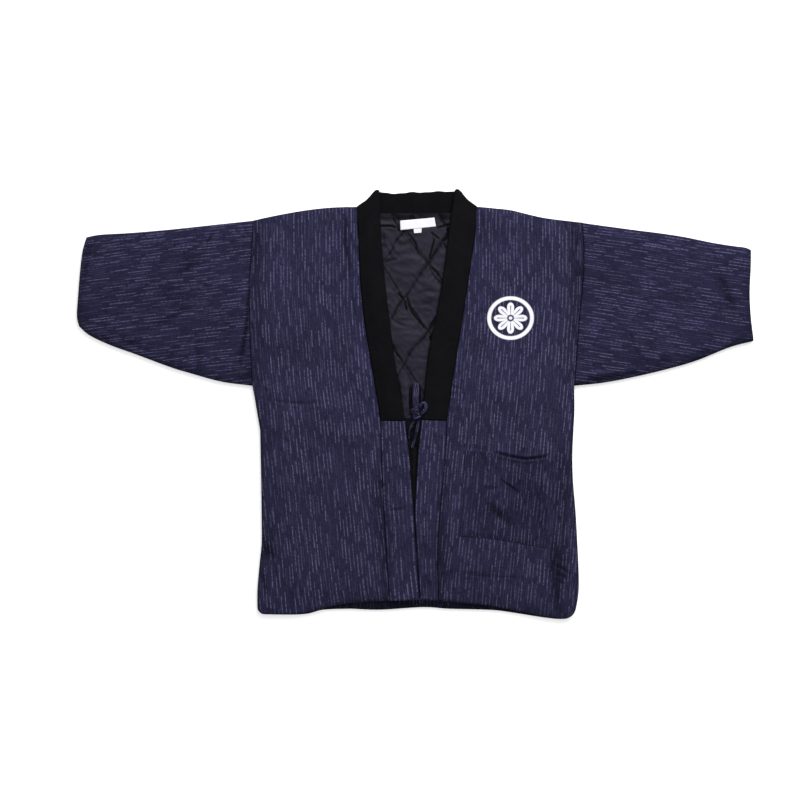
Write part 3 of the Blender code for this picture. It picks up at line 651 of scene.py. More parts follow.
LINING_WRINKLES = wrinkles(
    (2.2, -2.6, (-70.3, 341), (-51.1, 342), (-33.8, 339.1)),
    (2, -2, (-46.3, 366.9), (-39.6, 353.5), (-30.9, 342)), (4, -1, (-60.7, 332.4), (-57.8, 295.9)),
    (2.2, -1.8, (-31.9, 345.8), (-30, 330.4)),
    (2, -2.4, (41.1, 337.2), (56.4, 342), (73.7, 346.8)),
    (2.4, -2.6, (61.2, 340), (65.1, 328.5), (60.3, 318.9), (51.6, 311.2)),
    (1.9, -2, (30.5, 330.4), (39.2, 322.8), (48.8, 316)),
    (1.8, -1.5, (32.4, 324.7), (37.2, 315.1), (33.4, 299.7), (27.6, 274.8)),
    (2.2, -1.6, (54.5, 311.2), (62.2, 295.9)), (1.8, -1, (44.9, 363.1), (58.4, 342)),
    (2.2, -1.6, (-16.5, 332.4), (-5, 318.9), (2.7, 305.5), (3.6, 290.1)),
    (2, 0.7, (-9.8, 330.4), (-1.2, 313.2)), (1.9, -1.5, (29.6, 265.2), (43, 251.7), (54.5, 234.4)),
    (2.4, 0.7, (33.4, 267.1), (48.8, 253.6)),
    (3, -1.3, (-60.7, 272.8), (-45.3, 277.6), (-31.9, 280.5)),
    (5, 0.9, (-58.8, 267.1), (-33.8, 274.8), (-8.8, 281.5), (4.6, 272.8)),
    (6, -0.8, (-35.7, 263.2), (-16.5, 267.1), (0.8, 265.2)),
    (4, -0.8, (-31.9, 305.5), (-14.6, 308.4)), (4, -0.7, (-39.6, 234.4), (-22.3, 240.2)),
    (2.2, -2.2, (-16.5, 211.4), (-10.8, 192.2), (-5, 176.8), (6.5, 161.5), (23.8, 140.4)),
    (1.9, -1.6, (-19.4, 199.9), (-17.5, 188.4), (-14.6, 178.8)),
    (1.9, -1.6, (-32.8, 215.2), (-26.1, 205.6), (-20.4, 201.8)),
    (3.5, 1.2, (-33.8, 196), (-44.4, 180.7), (-47.2, 167.2)),
    (3.5, -1, (-24.2, 199.9), (-30, 184.5)), (2.2, 0.8, (-45.3, 164.4), (-28, 166.3), (-5, 165.3)),
    (2.8, -1.1, (-41.5, 159.6), (-26.1, 153.8), (-10.8, 148)),
    (2.4, -1.9, (43, 167.2), (33.4, 151.9), (25.7, 138.4)),
    (3, -2.2, (29.6, 132.7), (35.3, 117.3)),
    (2.3, -1.3, (-45.3, 115.4), (-35.7, 98.1), (-24.2, 82.8)),
    (4, 0.9, (18, 207.6), (37.2, 205.6)), (3.5, -0.7, (12.3, 192.2), (35.3, 194.1)),
    (4, -0.6, (14.2, 182.6), (35.3, 176.8)), (4, -0.7, (10.4, 236.4), (21.9, 221)),
    (5, 0.7, (33.4, 251.7), (31.5, 222.9)), (4, -1, (6.5, 215.2), (29.6, 219.1), (44.9, 211.4)),
    (9, 0.8, (-31.9, 132.7), (-8.8, 121.2)), (3, -2.4, (-6.9, 40.5), (-7.9, 11.7), (-6.9, -19)),
    (4.5, 1.4, (-20.4, 52), (-17.5, 23.2), (-16.5, -15.2)),
    (5, -0.65, (-26.1, 25.2), (-16.5, 28), (-6.9, 30.9)), (5, -0.6, (-24.2, 7.9), (-10.8, 13.6)),
    (2.5, -1.5, (-31.9, 50.1), (-28, 17.5), (-24.2, -17.1)), (3, -2, (9.4, 36.7), (10.4, -3.6)),
    (3.2, 1, (-0.2, -88.1), (-0.2, -122.7), (-1.2, -157.2)),
)

# The ties' bends: x, y and the height over the lining
LOOP_UP = [
    (-0.4, -7.5, 6.0), (-1.0, 4, 4.6), (-1.0, 18, 4.2), (-0.6, 31, 3.8), (0.6, 37.6, 3.4),
    (2.4, 39.6, 3.2), (4.2, 37.8, 3.0), (5.0, 31, 2.8), (5.0, 18, 3.0), (5.2, 4, 3.4),
    (6.0, -7.5, 5.2),
]
LOOP_SIDE = [
    (9.6, -7.6, 8.6), (12.2, -2.2, 10.4), (15.2, 1.4, 11.6), (18.6, 1.8, 11.8), (21.2, -0.8, 11.8),
    (21.8, -5.4, 11.8), (20.0, -10.6, 11.6), (16.4, -15.0, 11.2), (10.8, -18.6, 10.0),
]
TAIL_RIGHT = [
    (1.2, -29.6, 4.4), (-3.2, -36, 2.8), (-7.2, -43.5, 2.2), (-10.0, -52, 2.1), (-10.8, -60, 2.1),
    (-10.2, -68, 2.1),
]
TAIL_LEFT = [
    (6.4, -29.3, 4.4), (6.2, -37, 3.2), (5.0, -47, 2.9), (2.8, -58, 2.8), (0.0, -68, 2.8),
    (-2.8, -77, 2.8), (-5.4, -85, 2.8),
]
TIE_RIGHT = [(-18.4, -25.6, 4.2), (-13.4, -24.4, 4.6), (-6.8, -22.0, 5.2)]


def linear(colour: str) -> tuple[float, float, float, float]:
    """An sRGB hex colour as linear values with full alpha."""
    values = [int(colour[place : place + 2], 16) / 255 for place in (1, 3, 5)]
    found = [v / 12.92 if v <= 0.04045 else ((v + 0.055) / 1.055) ** 2.4 for v in values]
    return (*found, 1.0)


@dataclass(frozen=True)
class Wire:
    """A value that runs between a material's nodes; a sum with it adds a Math node."""

    material: Material
    socket: NodeSocket

    def maths(self, operation: str, *others: "Wire | float") -> "Wire":
        """The value after a Math node's operation."""
        inputs = dict(enumerate((self, *others)))
        return add_node(self.material, "ShaderNodeMath", inputs, operation=operation)

    def __add__(self, other: "Wire | float") -> "Wire":
        """The sum of both."""
        return self.maths("ADD", other)

    def __sub__(self, other: "Wire | float") -> "Wire":
        """The difference of both."""
        return self.maths("SUBTRACT", other)

    def __mul__(self, other: "Wire | float") -> "Wire":
        """The product of both."""
        return self.maths("MULTIPLY", other)

    def __truediv__(self, other: "Wire | float") -> "Wire":
        """The quotient of both."""
        return self.maths("DIVIDE", other)

    def ramp(
        self, low: float, high: float, start: float, end: float, kind: str = "SMOOTHSTEP"
    ) -> "Wire":
        """A value that goes from start to end as this one goes from low to high."""
        inputs = {0: self, 1: low, 2: high, 3: start, 4: end}
        return add_node(self.material, "ShaderNodeMapRange", inputs, interpolation_type=kind)

    def below(self, limit: float, fade: float = 0.02) -> "Wire":
        """1 where this value is below a limit and 0 above it."""
        return self.ramp(limit - fade, limit + fade, 1.0, 0.0, "LINEAR")

    def above(self, limit: float, fade: float = 0.02) -> "Wire":
        """1 where this value is above a limit and 0 below it."""
        return self.ramp(limit - fade, limit + fade, 0.0, 1.0, "LINEAR")

    def parts(self, kind: str, count: int) -> list["Wire"]:
        """The first parts of a vector (kind XYZ) or of a colour (kind Color)."""
        node = f"ShaderNodeSeparate{kind}"
        return [add_node(self.material, node, {0: self}, place) for place in range(count)]


def add_node(
    material: Material, kind: str, inputs: dict | None = None, output: int = 0,
    **settings: object,
) -> Wire:
    """Adds a node with its settings and links.

    Args:
        material: the material that gets the node.
        kind: the node's type.
        inputs: socket names or numbers, each with a value or a wire to link from.
        output: which output to return.
        settings: the node's own properties.

    Returns:
        One of the node's outputs.
    """
    node = material.node_tree.nodes.new(kind)
    for name, value in settings.items():
        setattr(node, name, value)
    set_inputs(material, node, inputs or {})
    return Wire(material, node.outputs[output])


def set_inputs(material: Material, node: Node, inputs: dict) -> None:
    """Sets a node's inputs.

    Args:
        material: the material that holds the node.
        node: the node.
        inputs: socket names or numbers, each with a value or a wire to link from.
    """
    for key, value in inputs.items():
        if isinstance(value, Wire):
            material.node_tree.links.new(value.socket, node.inputs[key])
        else:
            node.inputs[key].default_value = value


def new_material(name: str) -> Material:
    """A new material with nodes."""
    material = bpy.data.materials.new(name)
    material.use_nodes = True
    return material


def set_shader(material: Material, inputs: dict) -> Material:
    """Gives the inputs of a material's shader their values and links."""
    set_inputs(material, material.node_tree.nodes["Principled BSDF"], inputs)
    return material


def noise(x: Wire, y: Wire | float, detail: float = 0.0) -> Wire:
    """Soft noise over two values."""
    place = add_node(x.material, "ShaderNodeCombineXYZ", {0: x, 1: y})
    inputs = {"Vector": place, "Scale": 1.0, "Detail": detail}
    return add_node(x.material, "ShaderNodeTexNoise", inputs, noise_dimensions="2D")


def scaled(colour: Wire | tuple[float, ...], share: Wire) -> Wire:
    """A share of a colour's light."""
    inputs = {0: colour, "Scale": share}
    return add_node(share.material, "ShaderNodeVectorMath", inputs, operation="SCALE")


def mixed(share: Wire, colour: Wire, other: str) -> Wire:
    """A colour that becomes another as the share goes from 0 to 1."""
    inputs = {0: share, 6: colour, 7: linear(other)}
    return add_node(share.material, "ShaderNodeMix", inputs, 2, data_type="RGBA")


def painted_light_share(material: Material, least: float) -> Wire:
    """The share of its colour that the painted shade leaves, from 1 down to the least."""
    painted_shade = add_node(material, "ShaderNodeAttribute", output=2, attribute_name="painted_shade")
    return painted_shade.ramp(0.0, 1.0, 1.0, least, "LINEAR")


def finish(
    colour: Wire, relief: Wire, bump: tuple[float, float], roughness: float, gloss: float
) -> Material:
    """Gives a cloth's material its colour, fine relief and shine.

    Args:
        colour: its colour.
        relief: its relief, from 0 to about 1.
        bump: how strongly the relief shows, and its height in metres.
        roughness: how dull it is.
        gloss: the strength of its highlights.

    Returns:
        The material.
    """
    strength, height = bump
    inputs = {"Height": relief, "Strength": strength, "Distance": height}
    return set_shader(colour.material, {
        "Base Color": colour, "Normal": add_node(colour.material, "ShaderNodeBump", inputs),
        "Roughness": roughness, "Specular IOR Level": gloss,
    })


@dataclass(frozen=True)
class DashedCotton:
    """Matte cotton in navy, woven with broken light threads that run along the grain."""

    name: str = "dashed_navy_cotton"
    ground: str = "#25243c"
    thread: str = "#5a5775"
    pitch: float = 6.7
    dash: float = 60.0
    scatter: float = 0.9
    faint: float = 0.34
    clump: float = 0.4
    bare: float = 0.2
    with_print: bool = False
    bump: tuple[float, float] = (0.35, 0.0006)
    roughness: float = 0.92
    gloss: float = 0.08

    def dashes(
        self, across: Wire, along: Wire, pitch: float, dash: float, start: float, least: float,
        most: float,
    ) -> Wire:
        """Rows of dashes; the runs of neighbouring rows are a little out of step.

        Args:
            across: the place across the rows in metres.
            along: the place along them in metres.
            pitch: the distance between two rows in millimetres.
            dash: the length of a dash with its gap in millimetres.
            start: the number of the row at 0.
            least: how light the faintest dashes are.
            most: how light the brightest are.

        Returns:
            How light the cloth is with them, from 0 to about 1.
        """
        material = across.material
        track = across / (pitch * MM) + start
        row, place = track.maths("FLOOR"), track.maths("FRACT")
        random = add_node(material, "ShaderNodeTexWhiteNoise", {"W": row}, 1,
                          noise_dimensions="1D")
        own_step, offset = random.parts("Color", 2)
        step = own_step * self.scatter + noise(row * 0.21, 0.5) * 3.2
        run = along / (dash * MM) + (noise(row * 0.37, along / 0.31) * 0.8 + step)
        cell, spot = run.maths("FLOOR"), run.maths("FRACT")
        key = add_node(material, "ShaderNodeCombineXYZ", {0: row, 1: cell})
        choice = add_node(material, "ShaderNodeTexWhiteNoise", {0: key}, 1,
                          noise_dimensions="2D")
        first, size, rank = choice.parts("Color", 3)
        started = spot - first * 0.24
        left = size * 0.38 + 0.52 - started
        dashed = started.ramp(0.0, 0.06, 0.0, 1.0) * left.ramp(0.0, 0.06, 0.0, 1.0)
        group = noise(row * 0.27, cell * 0.71) * self.clump
        present = group + rank * (0.9 * (1 - self.clump))
        dashed = dashed * present.ramp(self.bare, self.bare + 0.13, 0.0, 1.0)
        away = (place - (offset * 0.34 + 0.33)).maths("ABSOLUTE")
        beads = noise(row * 3.7, along / 0.0042, 1.0).ramp(0.32, 0.68, 0.35, 1.2)
        strength = beads * rank.ramp(0.0, 1.0, least, most)
        return dashed * away.ramp(0.05, 0.21, 1.0, 0.0) * strength

    def printed(self, colour: Wire) -> Wire:
        """Adds a plain round print: a ring around a rosette of leaves.

        Args:
            colour: the cloth's colour.

        Returns:
            The colour with the print over it.
        """
        x, y = add_node(colour.material, "ShaderNodeTexCoord", output=3).parts("XYZ", 2)
        x = (x - PRINT_X * MM) / (PRINT_WIDTH / 2 * MM)
        y = (y - PRINT_Y * MM) / (PRINT_HEIGHT / 2 * MM)
        radius = (x.maths("POWER", 2.0) + y.maths("POWER", 2.0)).maths("SQRT")
        leaf = (y.maths("ARCTAN2", x) * 4.0).maths("COSINE").maths("ABSOLUTE")
        reach = leaf.maths("POWER", 0.55) * 0.46 + 0.24
        vein = leaf.below(0.985).maths("MAXIMUM", radius.above(0.56))
        rosette = (radius - reach).below(0.0) * (vein * radius.above(0.15))
        ring = radius.below(0.98) * radius.above(0.82)
        mask = ring.maths("MAXIMUM", rosette).maths("MAXIMUM", radius.below(0.075))
        return mixed(mask, colour, PRINT_WHITE)

    def build(self) -> Material:
        """Makes the material; its pattern reads the cloth's own UV map, in metres.

        Returns:
            The material.
        """
        material = new_material(self.name)
        across, along = add_node(material, "ShaderNodeUVMap", uv_map="cloth").parts("XYZ", 2)
        # Threads wander a little, as hand-dyed yarns do
        wandering = across + (noise(across * 14.0, along * 9.0) * 0.004 - 0.002)
        bright = self.dashes(wandering, along, self.pitch, self.dash, 0.0, 0.46, 0.95)
        # Between the bright threads run fainter ones
        light = bright.maths("MAXIMUM", self.dashes(
            wandering, along, self.pitch * 0.73, self.dash * 0.8, 600.3, 0.1, self.faint
        ))
        # Faint uneven threads in the ground, drawn coarser than the real 0.4 mm so that they show
        threads = noise(across * 430.0, along * 75.0, 2.0)
        picks = noise(across * 90.0, along * 420.0, 2.0)
        cloudy = noise(across * 16.0, along * 11.0, 3.0)
        tone = (threads * 0.9 + 0.55) * (picks * 0.76 + 0.62) * (cloudy * 0.5 + 0.75)
        colour = mixed(light, scaled(linear(self.ground)[:3], tone), self.thread)
        if self.with_print:
            colour = self.printed(colour)
        # Painted shade darkens the colour in grooves and folds, at rims and in shaded patches
        colour = scaled(colour, painted_light_share(material, 0.2))
        relief = light * 0.25 + (threads * 0.6 + picks * 0.6)
        return finish(colour, relief, self.bump, self.roughness, self.gloss)


@dataclass(frozen=True)
class PlainCloth:
    """A cloth of one colour, whose fine weave shows as faint streaks.

    Its threads and clouds are counts to a metre, its tone is a ramp, and its painted shade
    leaves at least the least share of its colour.
    """

    name: str
    ground: str
    threads: tuple[float, float, float]
    bump: tuple[float, float]
    roughness: float
    gloss: float = 0.5
    tone: tuple[float, float, float, float] = (0.3, 0.7, 0.85, 1.15)
    least: float = 1.0
    detail: float = 2.0
    clouds: float = 0.0

    def build(self) -> Material:
        """Makes the material; its weave reads the cloth's own UV map, in metres.

        Returns:
            The material.
        """
        material = new_material(self.name)
        cloth = add_node(material, "ShaderNodeUVMap", uv_map="cloth")

        def streaks(place: Wire, scale: float, detail: float) -> Wire:
            """Soft noise over a place in the cloth."""
            inputs = {"Vector": place, "Scale": scale, "Detail": detail}
            return add_node(material, "ShaderNodeTexNoise", inputs)

        place = add_node(material, "ShaderNodeMapping", {"Vector": cloth, "Scale": self.threads})
        weave = streaks(place, 1.0, self.detail)
        uneven = weave + streaks(cloth, self.clouds, 3.0) if self.clouds else weave
        # The tone includes the painted shade of grooves, folds and rims
        tone = uneven.ramp(*self.tone, "LINEAR") * painted_light_share(material, self.least)
        colour = scaled(linear(self.ground)[:3], tone)
        return finish(colour, weave, self.bump, self.roughness, self.gloss)


@dataclass(frozen=True)
class BlackCotton(PlainCloth):
    """Black cotton sateen, brushed flat: nearly even, with a faint twill and soft clouds."""

    name: str = "black_cotton"
    ground: str = "#0e0d10"
    threads: tuple[float, float, float] = (700.0, 90.0, 1.0)
    bump: tuple[float, float] = (0.3, 0.0005)
    roughness: float = 0.9
    gloss: float = 0.05
    tone: tuple[float, float, float, float] = (0.6, 1.4, 0.7, 1.4)
    least: float = 0.25
    clouds: float = 22.0


@dataclass(frozen=True)
class QuiltedTaffeta(PlainCloth):
    """Polyester taffeta in charcoal: a soft sheen, with painted shade along the quilting stitches.
    """

    name: str = "quilted_taffeta"
    ground: str = "#272530"
    threads: tuple[float, float, float] = (900.0, 160.0, 1.0)
    bump: tuple[float, float] = (0.12, 0.0004)
    roughness: float = 0.55
    gloss: float = 0.07
    least: float = 0.06


@dataclass(frozen=True)
class WovenLabel(PlainCloth):
    """White woven polyester satin: fine ribs and a soft shine, left blank."""

    name: str = "white_woven_label"
    ground: str = "#e9e9f2"
    threads: tuple[float, float, float] = (160.0, 1500.0, 1.0)
    bump: tuple[float, float] = (0.3, 0.0003)
    roughness: float = 0.5
    tone: tuple[float, float, float, float] = (0.3, 0.7, 0.86, 1.04)
    detail: float = 1.0


def deselect() -> None:
    """Deselects every object."""
    for item in bpy.context.selected_objects:
        item.select_set(False)


def places(item: Object) -> Array:
    """The coordinates of an object's points, one row each."""
    values = np.empty(len(item.data.vertices) * 3)
    item.data.vertices.foreach_get("co", values)
    return values.reshape(-1, 3)


def set_places(item: Object, points: Array) -> None:
    """Moves an object's points to the given coordinates."""
    item.data.vertices.foreach_set("co", np.ascontiguousarray(points, float).ravel())
    item.data.update()


def set_cloth(item: Object, cloth: Array) -> None:
    """Gives a mesh the UV map that its weave follows, and its painted shade.

    Args:
        item: the object.
        cloth: the place in the cloth of each point in millimetres, and how much shade is
        painted on it, in grooves and folds, at rims and out of the light, from 0 to 1.
    """
    values = item.data.attributes.new("painted_shade", "FLOAT", "POINT")
    values.data.foreach_set("value", np.ascontiguousarray(cloth[:, 2], np.float32))
    layer = item.data.uv_layers.get("cloth") or item.data.uv_layers.new(name="cloth")
    corners = np.empty(len(item.data.loops), int)
    item.data.loops.foreach_get("vertex_index", corners)
    layer.data.foreach_set("uv", np.ascontiguousarray(cloth[corners, :2] * MM, float).ravel())


def activate(*items: Object) -> None:
    """Selects some objects and no others.

    Args:
        items: the objects; the last becomes the active one.
    """
    deselect()
    for item in items:
        item.select_set(True)
    bpy.context.view_layer.objects.active = items[-1]


def edit(item: Object) -> None:
    """Opens an object in edit mode with all of it selected."""
    activate(item)
    bpy.ops.object.mode_set(mode="EDIT")
    bpy.ops.mesh.select_all(action="SELECT")


def outward(item: Object) -> None:
    """Points every face of a closed mesh outwards.

    Args:
        item: the mesh's object.
    """
    edit(item)
    bpy.ops.mesh.normals_make_consistent(inside=False)
    bpy.ops.object.mode_set(mode="OBJECT")
    item.data.shade_smooth()


def grid(name: str, columns: int, rows: int) -> Object:
    """Adds a flat grid.

    Args:
        name: the object's name.
        columns: how many columns of points it has.
        rows: how many rows.

    Returns:
        The object.
    """
    deselect()
    bpy.ops.mesh.primitive_grid_add(x_subdivisions=columns - 1, y_subdivisions=rows - 1, size=2.0)
    item = bpy.context.active_object
    item.name = item.data.name = name
    return item


def cells(item: Object, columns: int, rows: int) -> tuple[Array, Array]:
    """The column and the row of each point of a grid."""
    shares = (places(item)[:, :2] + 1) / 2
    found = np.rint(shares * (columns - 1, rows - 1)).astype(int)
    return found[:, 0], found[:, 1]


def walled(
    name: str, upper: Array, under: Array, cloth: Array, flat_under: bool = False
) -> Object:
    """A closed wall of cloth between two faces over one grid.

    Args:
        name: the object's name.
        upper: the points of the upper face, rows by columns by 3.
        under: those of the under face.
        cloth: the place in the cloth of each point, and its groove.
        flat_under: whether the under face is flat, and becomes one face.

    Returns:
        The object.
    """
    rows, columns = upper.shape[:2]
    item = grid(name, columns, rows)
    edit(item)
    bpy.ops.mesh.extrude_region_move(TRANSFORM_OT_translate={"value": (0.0, 0.0, 1.0)})
    bpy.ops.object.mode_set(mode="OBJECT")
    column, row = cells(item, columns, rows)
    top = places(item)[:, 2] > 0.5
    set_places(item, np.where(top[:, None], upper[row, column], under[row, column]) * MM)
    set_cloth(item, cloth[row, column])
    outward(item)
    if flat_under:
        join_flat(item)
    return item


def join_flat(item: Object) -> None:
    """Joins the faces of a flat underside into one.

    Args:
        item: the object with that underside.
    """
    heights = places(item)[:, 2]
    lowest = heights.min()
    for polygon in item.data.polygons:
        polygon.select = all(heights[index] < lowest + 1e-6 for index in polygon.vertices)
    activate(item)
    bpy.ops.object.mode_set(mode="EDIT")
    bpy.ops.mesh.select_mode(type="FACE")
    bpy.ops.mesh.dissolve_faces(use_verts=True)
    bpy.ops.mesh.select_mode(type="VERT")
    bpy.ops.object.mode_set(mode="OBJECT")


def wrapped(name: str, points: Array, cloth: Array, closed: bool) -> Object:
    """A tube through rings of points.

    Args:
        name: the object's name.
        points: rings by points by 3, in millimetres.
        cloth: the place in the cloth of each point.
        closed: whether the last ring meets the first; otherwise both end in a tip.

    Returns:
        The object.
    """
    rings, around = points.shape[:2]
    spans = rings if closed else rings - 1
    item = grid(name, around + 1, spans + 1)
    turn, ring = cells(item, around + 1, spans + 1)
    turn, ring = turn % around, ring % rings
    set_places(item, points[ring, turn] * MM)
    set_cloth(item, cloth[ring, turn])
    edit(item)
    bpy.ops.mesh.remove_doubles(threshold=1e-6)
    bpy.ops.object.mode_set(mode="OBJECT")
    outward(item)
    return item


def dress(item: Object, material: Material, nodes: Sequence[str]) -> None:
    """Gives a piece its material, body and the nodes it stands for.

    Args:
        item: the piece.
        material: its material.
        nodes: the nodes that it replaces.
    """
    item.data.materials.clear()
    item.data.materials.append(material)
    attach(item, "root")
    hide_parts(*nodes)
    log.info("%s: %d points", item.name, len(item.data.vertices))


def nearest(spots: Array, *outlines: Outline) -> Array:
    """The distance from the nearest of some outlines, past half a seam's gap."""
    found = np.minimum.reduce([outline.field(spots)[0] for outline in outlines])
    return np.maximum(found - SEAM_GAP / 2, 0.0)


def wrinkled(points: Array, folds: Sequence[Wrinkle]) -> tuple[Array, Array]:
    """What a set of wrinkles does at each point.

    Args:
        points: the points in millimetres.
        folds: the wrinkles.

    Returns:
        The height that they add, and the shade painted in their troughs.
    """
    height, dark = np.zeros((2, *points.shape[:-1]))
    for wrinkle in folds:
        rise = wrinkle.height(points) * WRINKLE_GAIN
        height = height + rise
        dark = np.maximum(dark, -rise / wrinkle.width * WRINKLE_DARK)
    return height, np.minimum(dark, 0.7)


def seam_shade(points: Array, seam: Outline, reach: float, most: float) -> Array:
    """How much shade is painted beside a seam, unevenly, where its stitches draw the cloth in.

    Args:
        points: the points in millimetres.
        seam: the seam.
        reach: how far the shade goes from it.
        most: how dark it is at the seam.

    Returns:
        The shade at each point.
    """
    distance, along = seam.field(points)
    strip = np.stack((along, distance * 0.3), axis=-1)
    uneven = 0.6 + 0.5 * rumple(strip, 207, 9.0, waves=12)
    return dark_rim(np.maximum(distance - SEAM_GAP / 2, 0), reach, most) * np.clip(uneven, 0.1, 1)


def puckers(
    points: Array, seam: Outline, seed: int, height: float, reach: float, length: float,
) -> Array:
    """Small gathers that run off at right angles to a seam.

    Args:
        points: the points in millimetres.
        seam: the seam.
        seed: chooses their places.
        height: how high they are at the seam.
        reach: how far they run into the cloth.
        length: how far apart they usually are.

    Returns:
        The height that they add at each point.
    """
    distance, along = seam.field(points)
    strip = np.stack((along, distance * 0.35), axis=-1)
    wave = rumple(strip, seed, length, waves=12)
    strong = 0.6 + 0.6 * rumple(strip, seed + 40, length * 6, waves=8)
    return height * wave * np.clip(strong, 0, 2) * np.exp(-distance / reach)


def cloth_lean(y: Array, lean: float) -> Array:
    """How far the grain has moved sideways: it is straight at the shoulder, then leans.

    Args:
        y: the heights on the garment in millimetres.
        lean: how far it leans for each millimetre of height.

    Returns:
        The way that it has moved at each height.
    """
    heights = np.linspace(-450, 450, 181)
    slope = smoothstep(265.0, 90.0, heights) * lean
    moved = np.cumsum(slope[::-1])[::-1] * (heights[1] - heights[0])
    return np.interp(y, heights, moved)


def soft_corners(spots: Array) -> Array:
    """Rounds the body's lower corners.

    Args:
        spots: a panel's points in millimetres.

    Returns:
        The moved points.
    """
    for corner, inward, reach in LOWER_CORNERS:
        away = np.hypot(spots[..., 0] - corner[0], spots[..., 1] - corner[1])
        share = np.clip(1 - away / reach, 0.0, 1.0) ** 2
        spots = spots + share[..., None] * np.array(inward)
    return spots


@dataclass(frozen=True)
class Settled:
    """The heights at which a panel's cloth came to rest, on its own coarse grid."""

    u: Array
    v: Array
    heights: Array

    def at(self, u: Array, v: Array) -> Array:
        """The heights on a finer grid.

        Args:
            u: the parameters of its columns.
            v: the parameters of its rows.

        Returns:
            The heights in millimetres, rows by columns.
        """
        wide = np.array([np.interp(u, self.u, line) for line in self.heights])
        found = np.array([np.interp(v, self.v, line) for line in wide.T]).T
        for _ in range(3):
            found[1:-1] = (found[:-2] + 2 * found[1:-1] + found[2:]) / 4
            found[:, 1:-1] = (found[:, :-2] + 2 * found[:, 1:-1] + found[:, 2:]) / 4
        return found


@dataclass(frozen=True)
class Padding:
    """Springy wadding under cloth that is cut a little larger than its outline.

    A cloth simulation lets the cloth rise over it and gather, held along its seams.
    """

    spacing: float = 7.0
    slack: float = 0.009
    spring: float = 5.0
    hold: float = 0.1
    pressure: float = 1.0
    frames: int = 20
    most: float = 5.0

    def settle(self, patch: Patch, seed: int) -> Settled:
        """Lets a panel's cloth come to rest.

        Args:
            patch: the panel's outline.
            seed: chooses the first small bumps.

        Returns:
            The heights, capped at the most that the padding allows.
        """
        u = patch.bottom.stations(self.spacing, (self.spacing / 2,))
        v = patch.left.stations(self.spacing, (self.spacing / 2,))
        heights = np.zeros((len(v), len(u)))
        item = grid("padding", len(u), len(v))
        column, row = cells(item, len(u), len(v))
        spots = patch.points(u, v)[row, column]
        inside = np.minimum(np.minimum(column, len(u) - 1 - column),
                            np.minimum(row, len(v) - 1 - row))
        bumps = rumple(spots, seed, 60.0) * np.minimum(inside / 3.0, 1.0)
        set_places(item, np.column_stack((spots, bumps)) * MM)
        seams = item.vertex_groups.new(name="seams")
        seams.add(np.flatnonzero(inside > 0).tolist(), self.hold, "REPLACE")
        seams.add(np.flatnonzero(inside == 0).tolist(), 1.0, "REPLACE")
        cloth = item.modifiers.new("cloth", "CLOTH")
        cloth.point_cache.frame_end = self.frames
        cloth.collision_settings.use_collision = False
        settings = {
            "quality": 6, "mass": 0.15, "tension_stiffness": 15.0, "compression_stiffness": 15.0,
            "shear_stiffness": 7.5, "bending_stiffness": 40.0, "air_damping": 2.0,
            "vertex_group_mass": "seams", "pin_stiffness": self.spring,
            "shrink_min": -self.slack, "use_pressure": True,
            "uniform_pressure_force": self.pressure,
        }
        for name, value in settings.items():
            setattr(cloth.settings, name, value)
        cloth.settings.effector_weights.gravity = 0.0
        for number in range(1, self.frames + 1):
            bpy.context.scene.frame_set(number)
        bpy.context.view_layer.objects.active = item
        bpy.ops.object.modifier_apply(modifier=cloth.name)
        heights[row, column] = places(item)[:, 2] / MM
        bpy.context.scene.frame_set(1)
        bpy.data.objects.remove(item)
        log.info("padding %d: %.1f to %.1f mm, spread %.2f", seed, heights.min(), heights.max(),
                 heights.std())
        return Settled(u, v, self.most * np.tanh(heights / self.most))


@dataclass
class Padded:
    """What both fronts and sleeves have: names, a seed, the lean of the grain, and folds."""

    name: str
    node: str
    seed: int
    lean: float
    folds: list[Crease]
    wrinkles: list[Wrinkle]

    def uneven(
        self, spots: Array, ease: Array, edge: Array, lengths: tuple[float, float], grain: float
    ) -> Array:
        """The folds, the wrinkles and the lumps of the padding.

        Args:
            spots: the points in millimetres.
            ease: how free the padding is at each point, from 0 to 1.
            edge: how far the wrinkles have risen at each point, from 0 to 1.
            lengths: the usual lengths of the large and the small lumps.
            grain: the direction in which they run, in degrees.

        Returns:
            The height that they add.
        """
        lumps = sum(fold.height(spots) for fold in self.folds)
        lumps = lumps + rumple(spots, self.seed, lengths[0], 1.6, grain) * 0.8
        lumps = lumps + rumple(spots, self.seed + 1, lengths[1], 1.7, grain) * 0.16
        lumps = lumps + rumple(spots, self.seed + 2, 14.0) * 0.05
        return lumps * ease + wrinkled(spots, self.wrinkles)[0] * edge

    def gathers(self, spots: Array, *rows: tuple[Outline, float, float, float]) -> Array:
        """The gathers of some seams: each row gives the seam, and what puckers takes after it."""
        return sum(
            puckers(spots, seam, self.seed + 3 + number, *sizes)
            for number, (seam, *sizes) in enumerate(rows)
        )


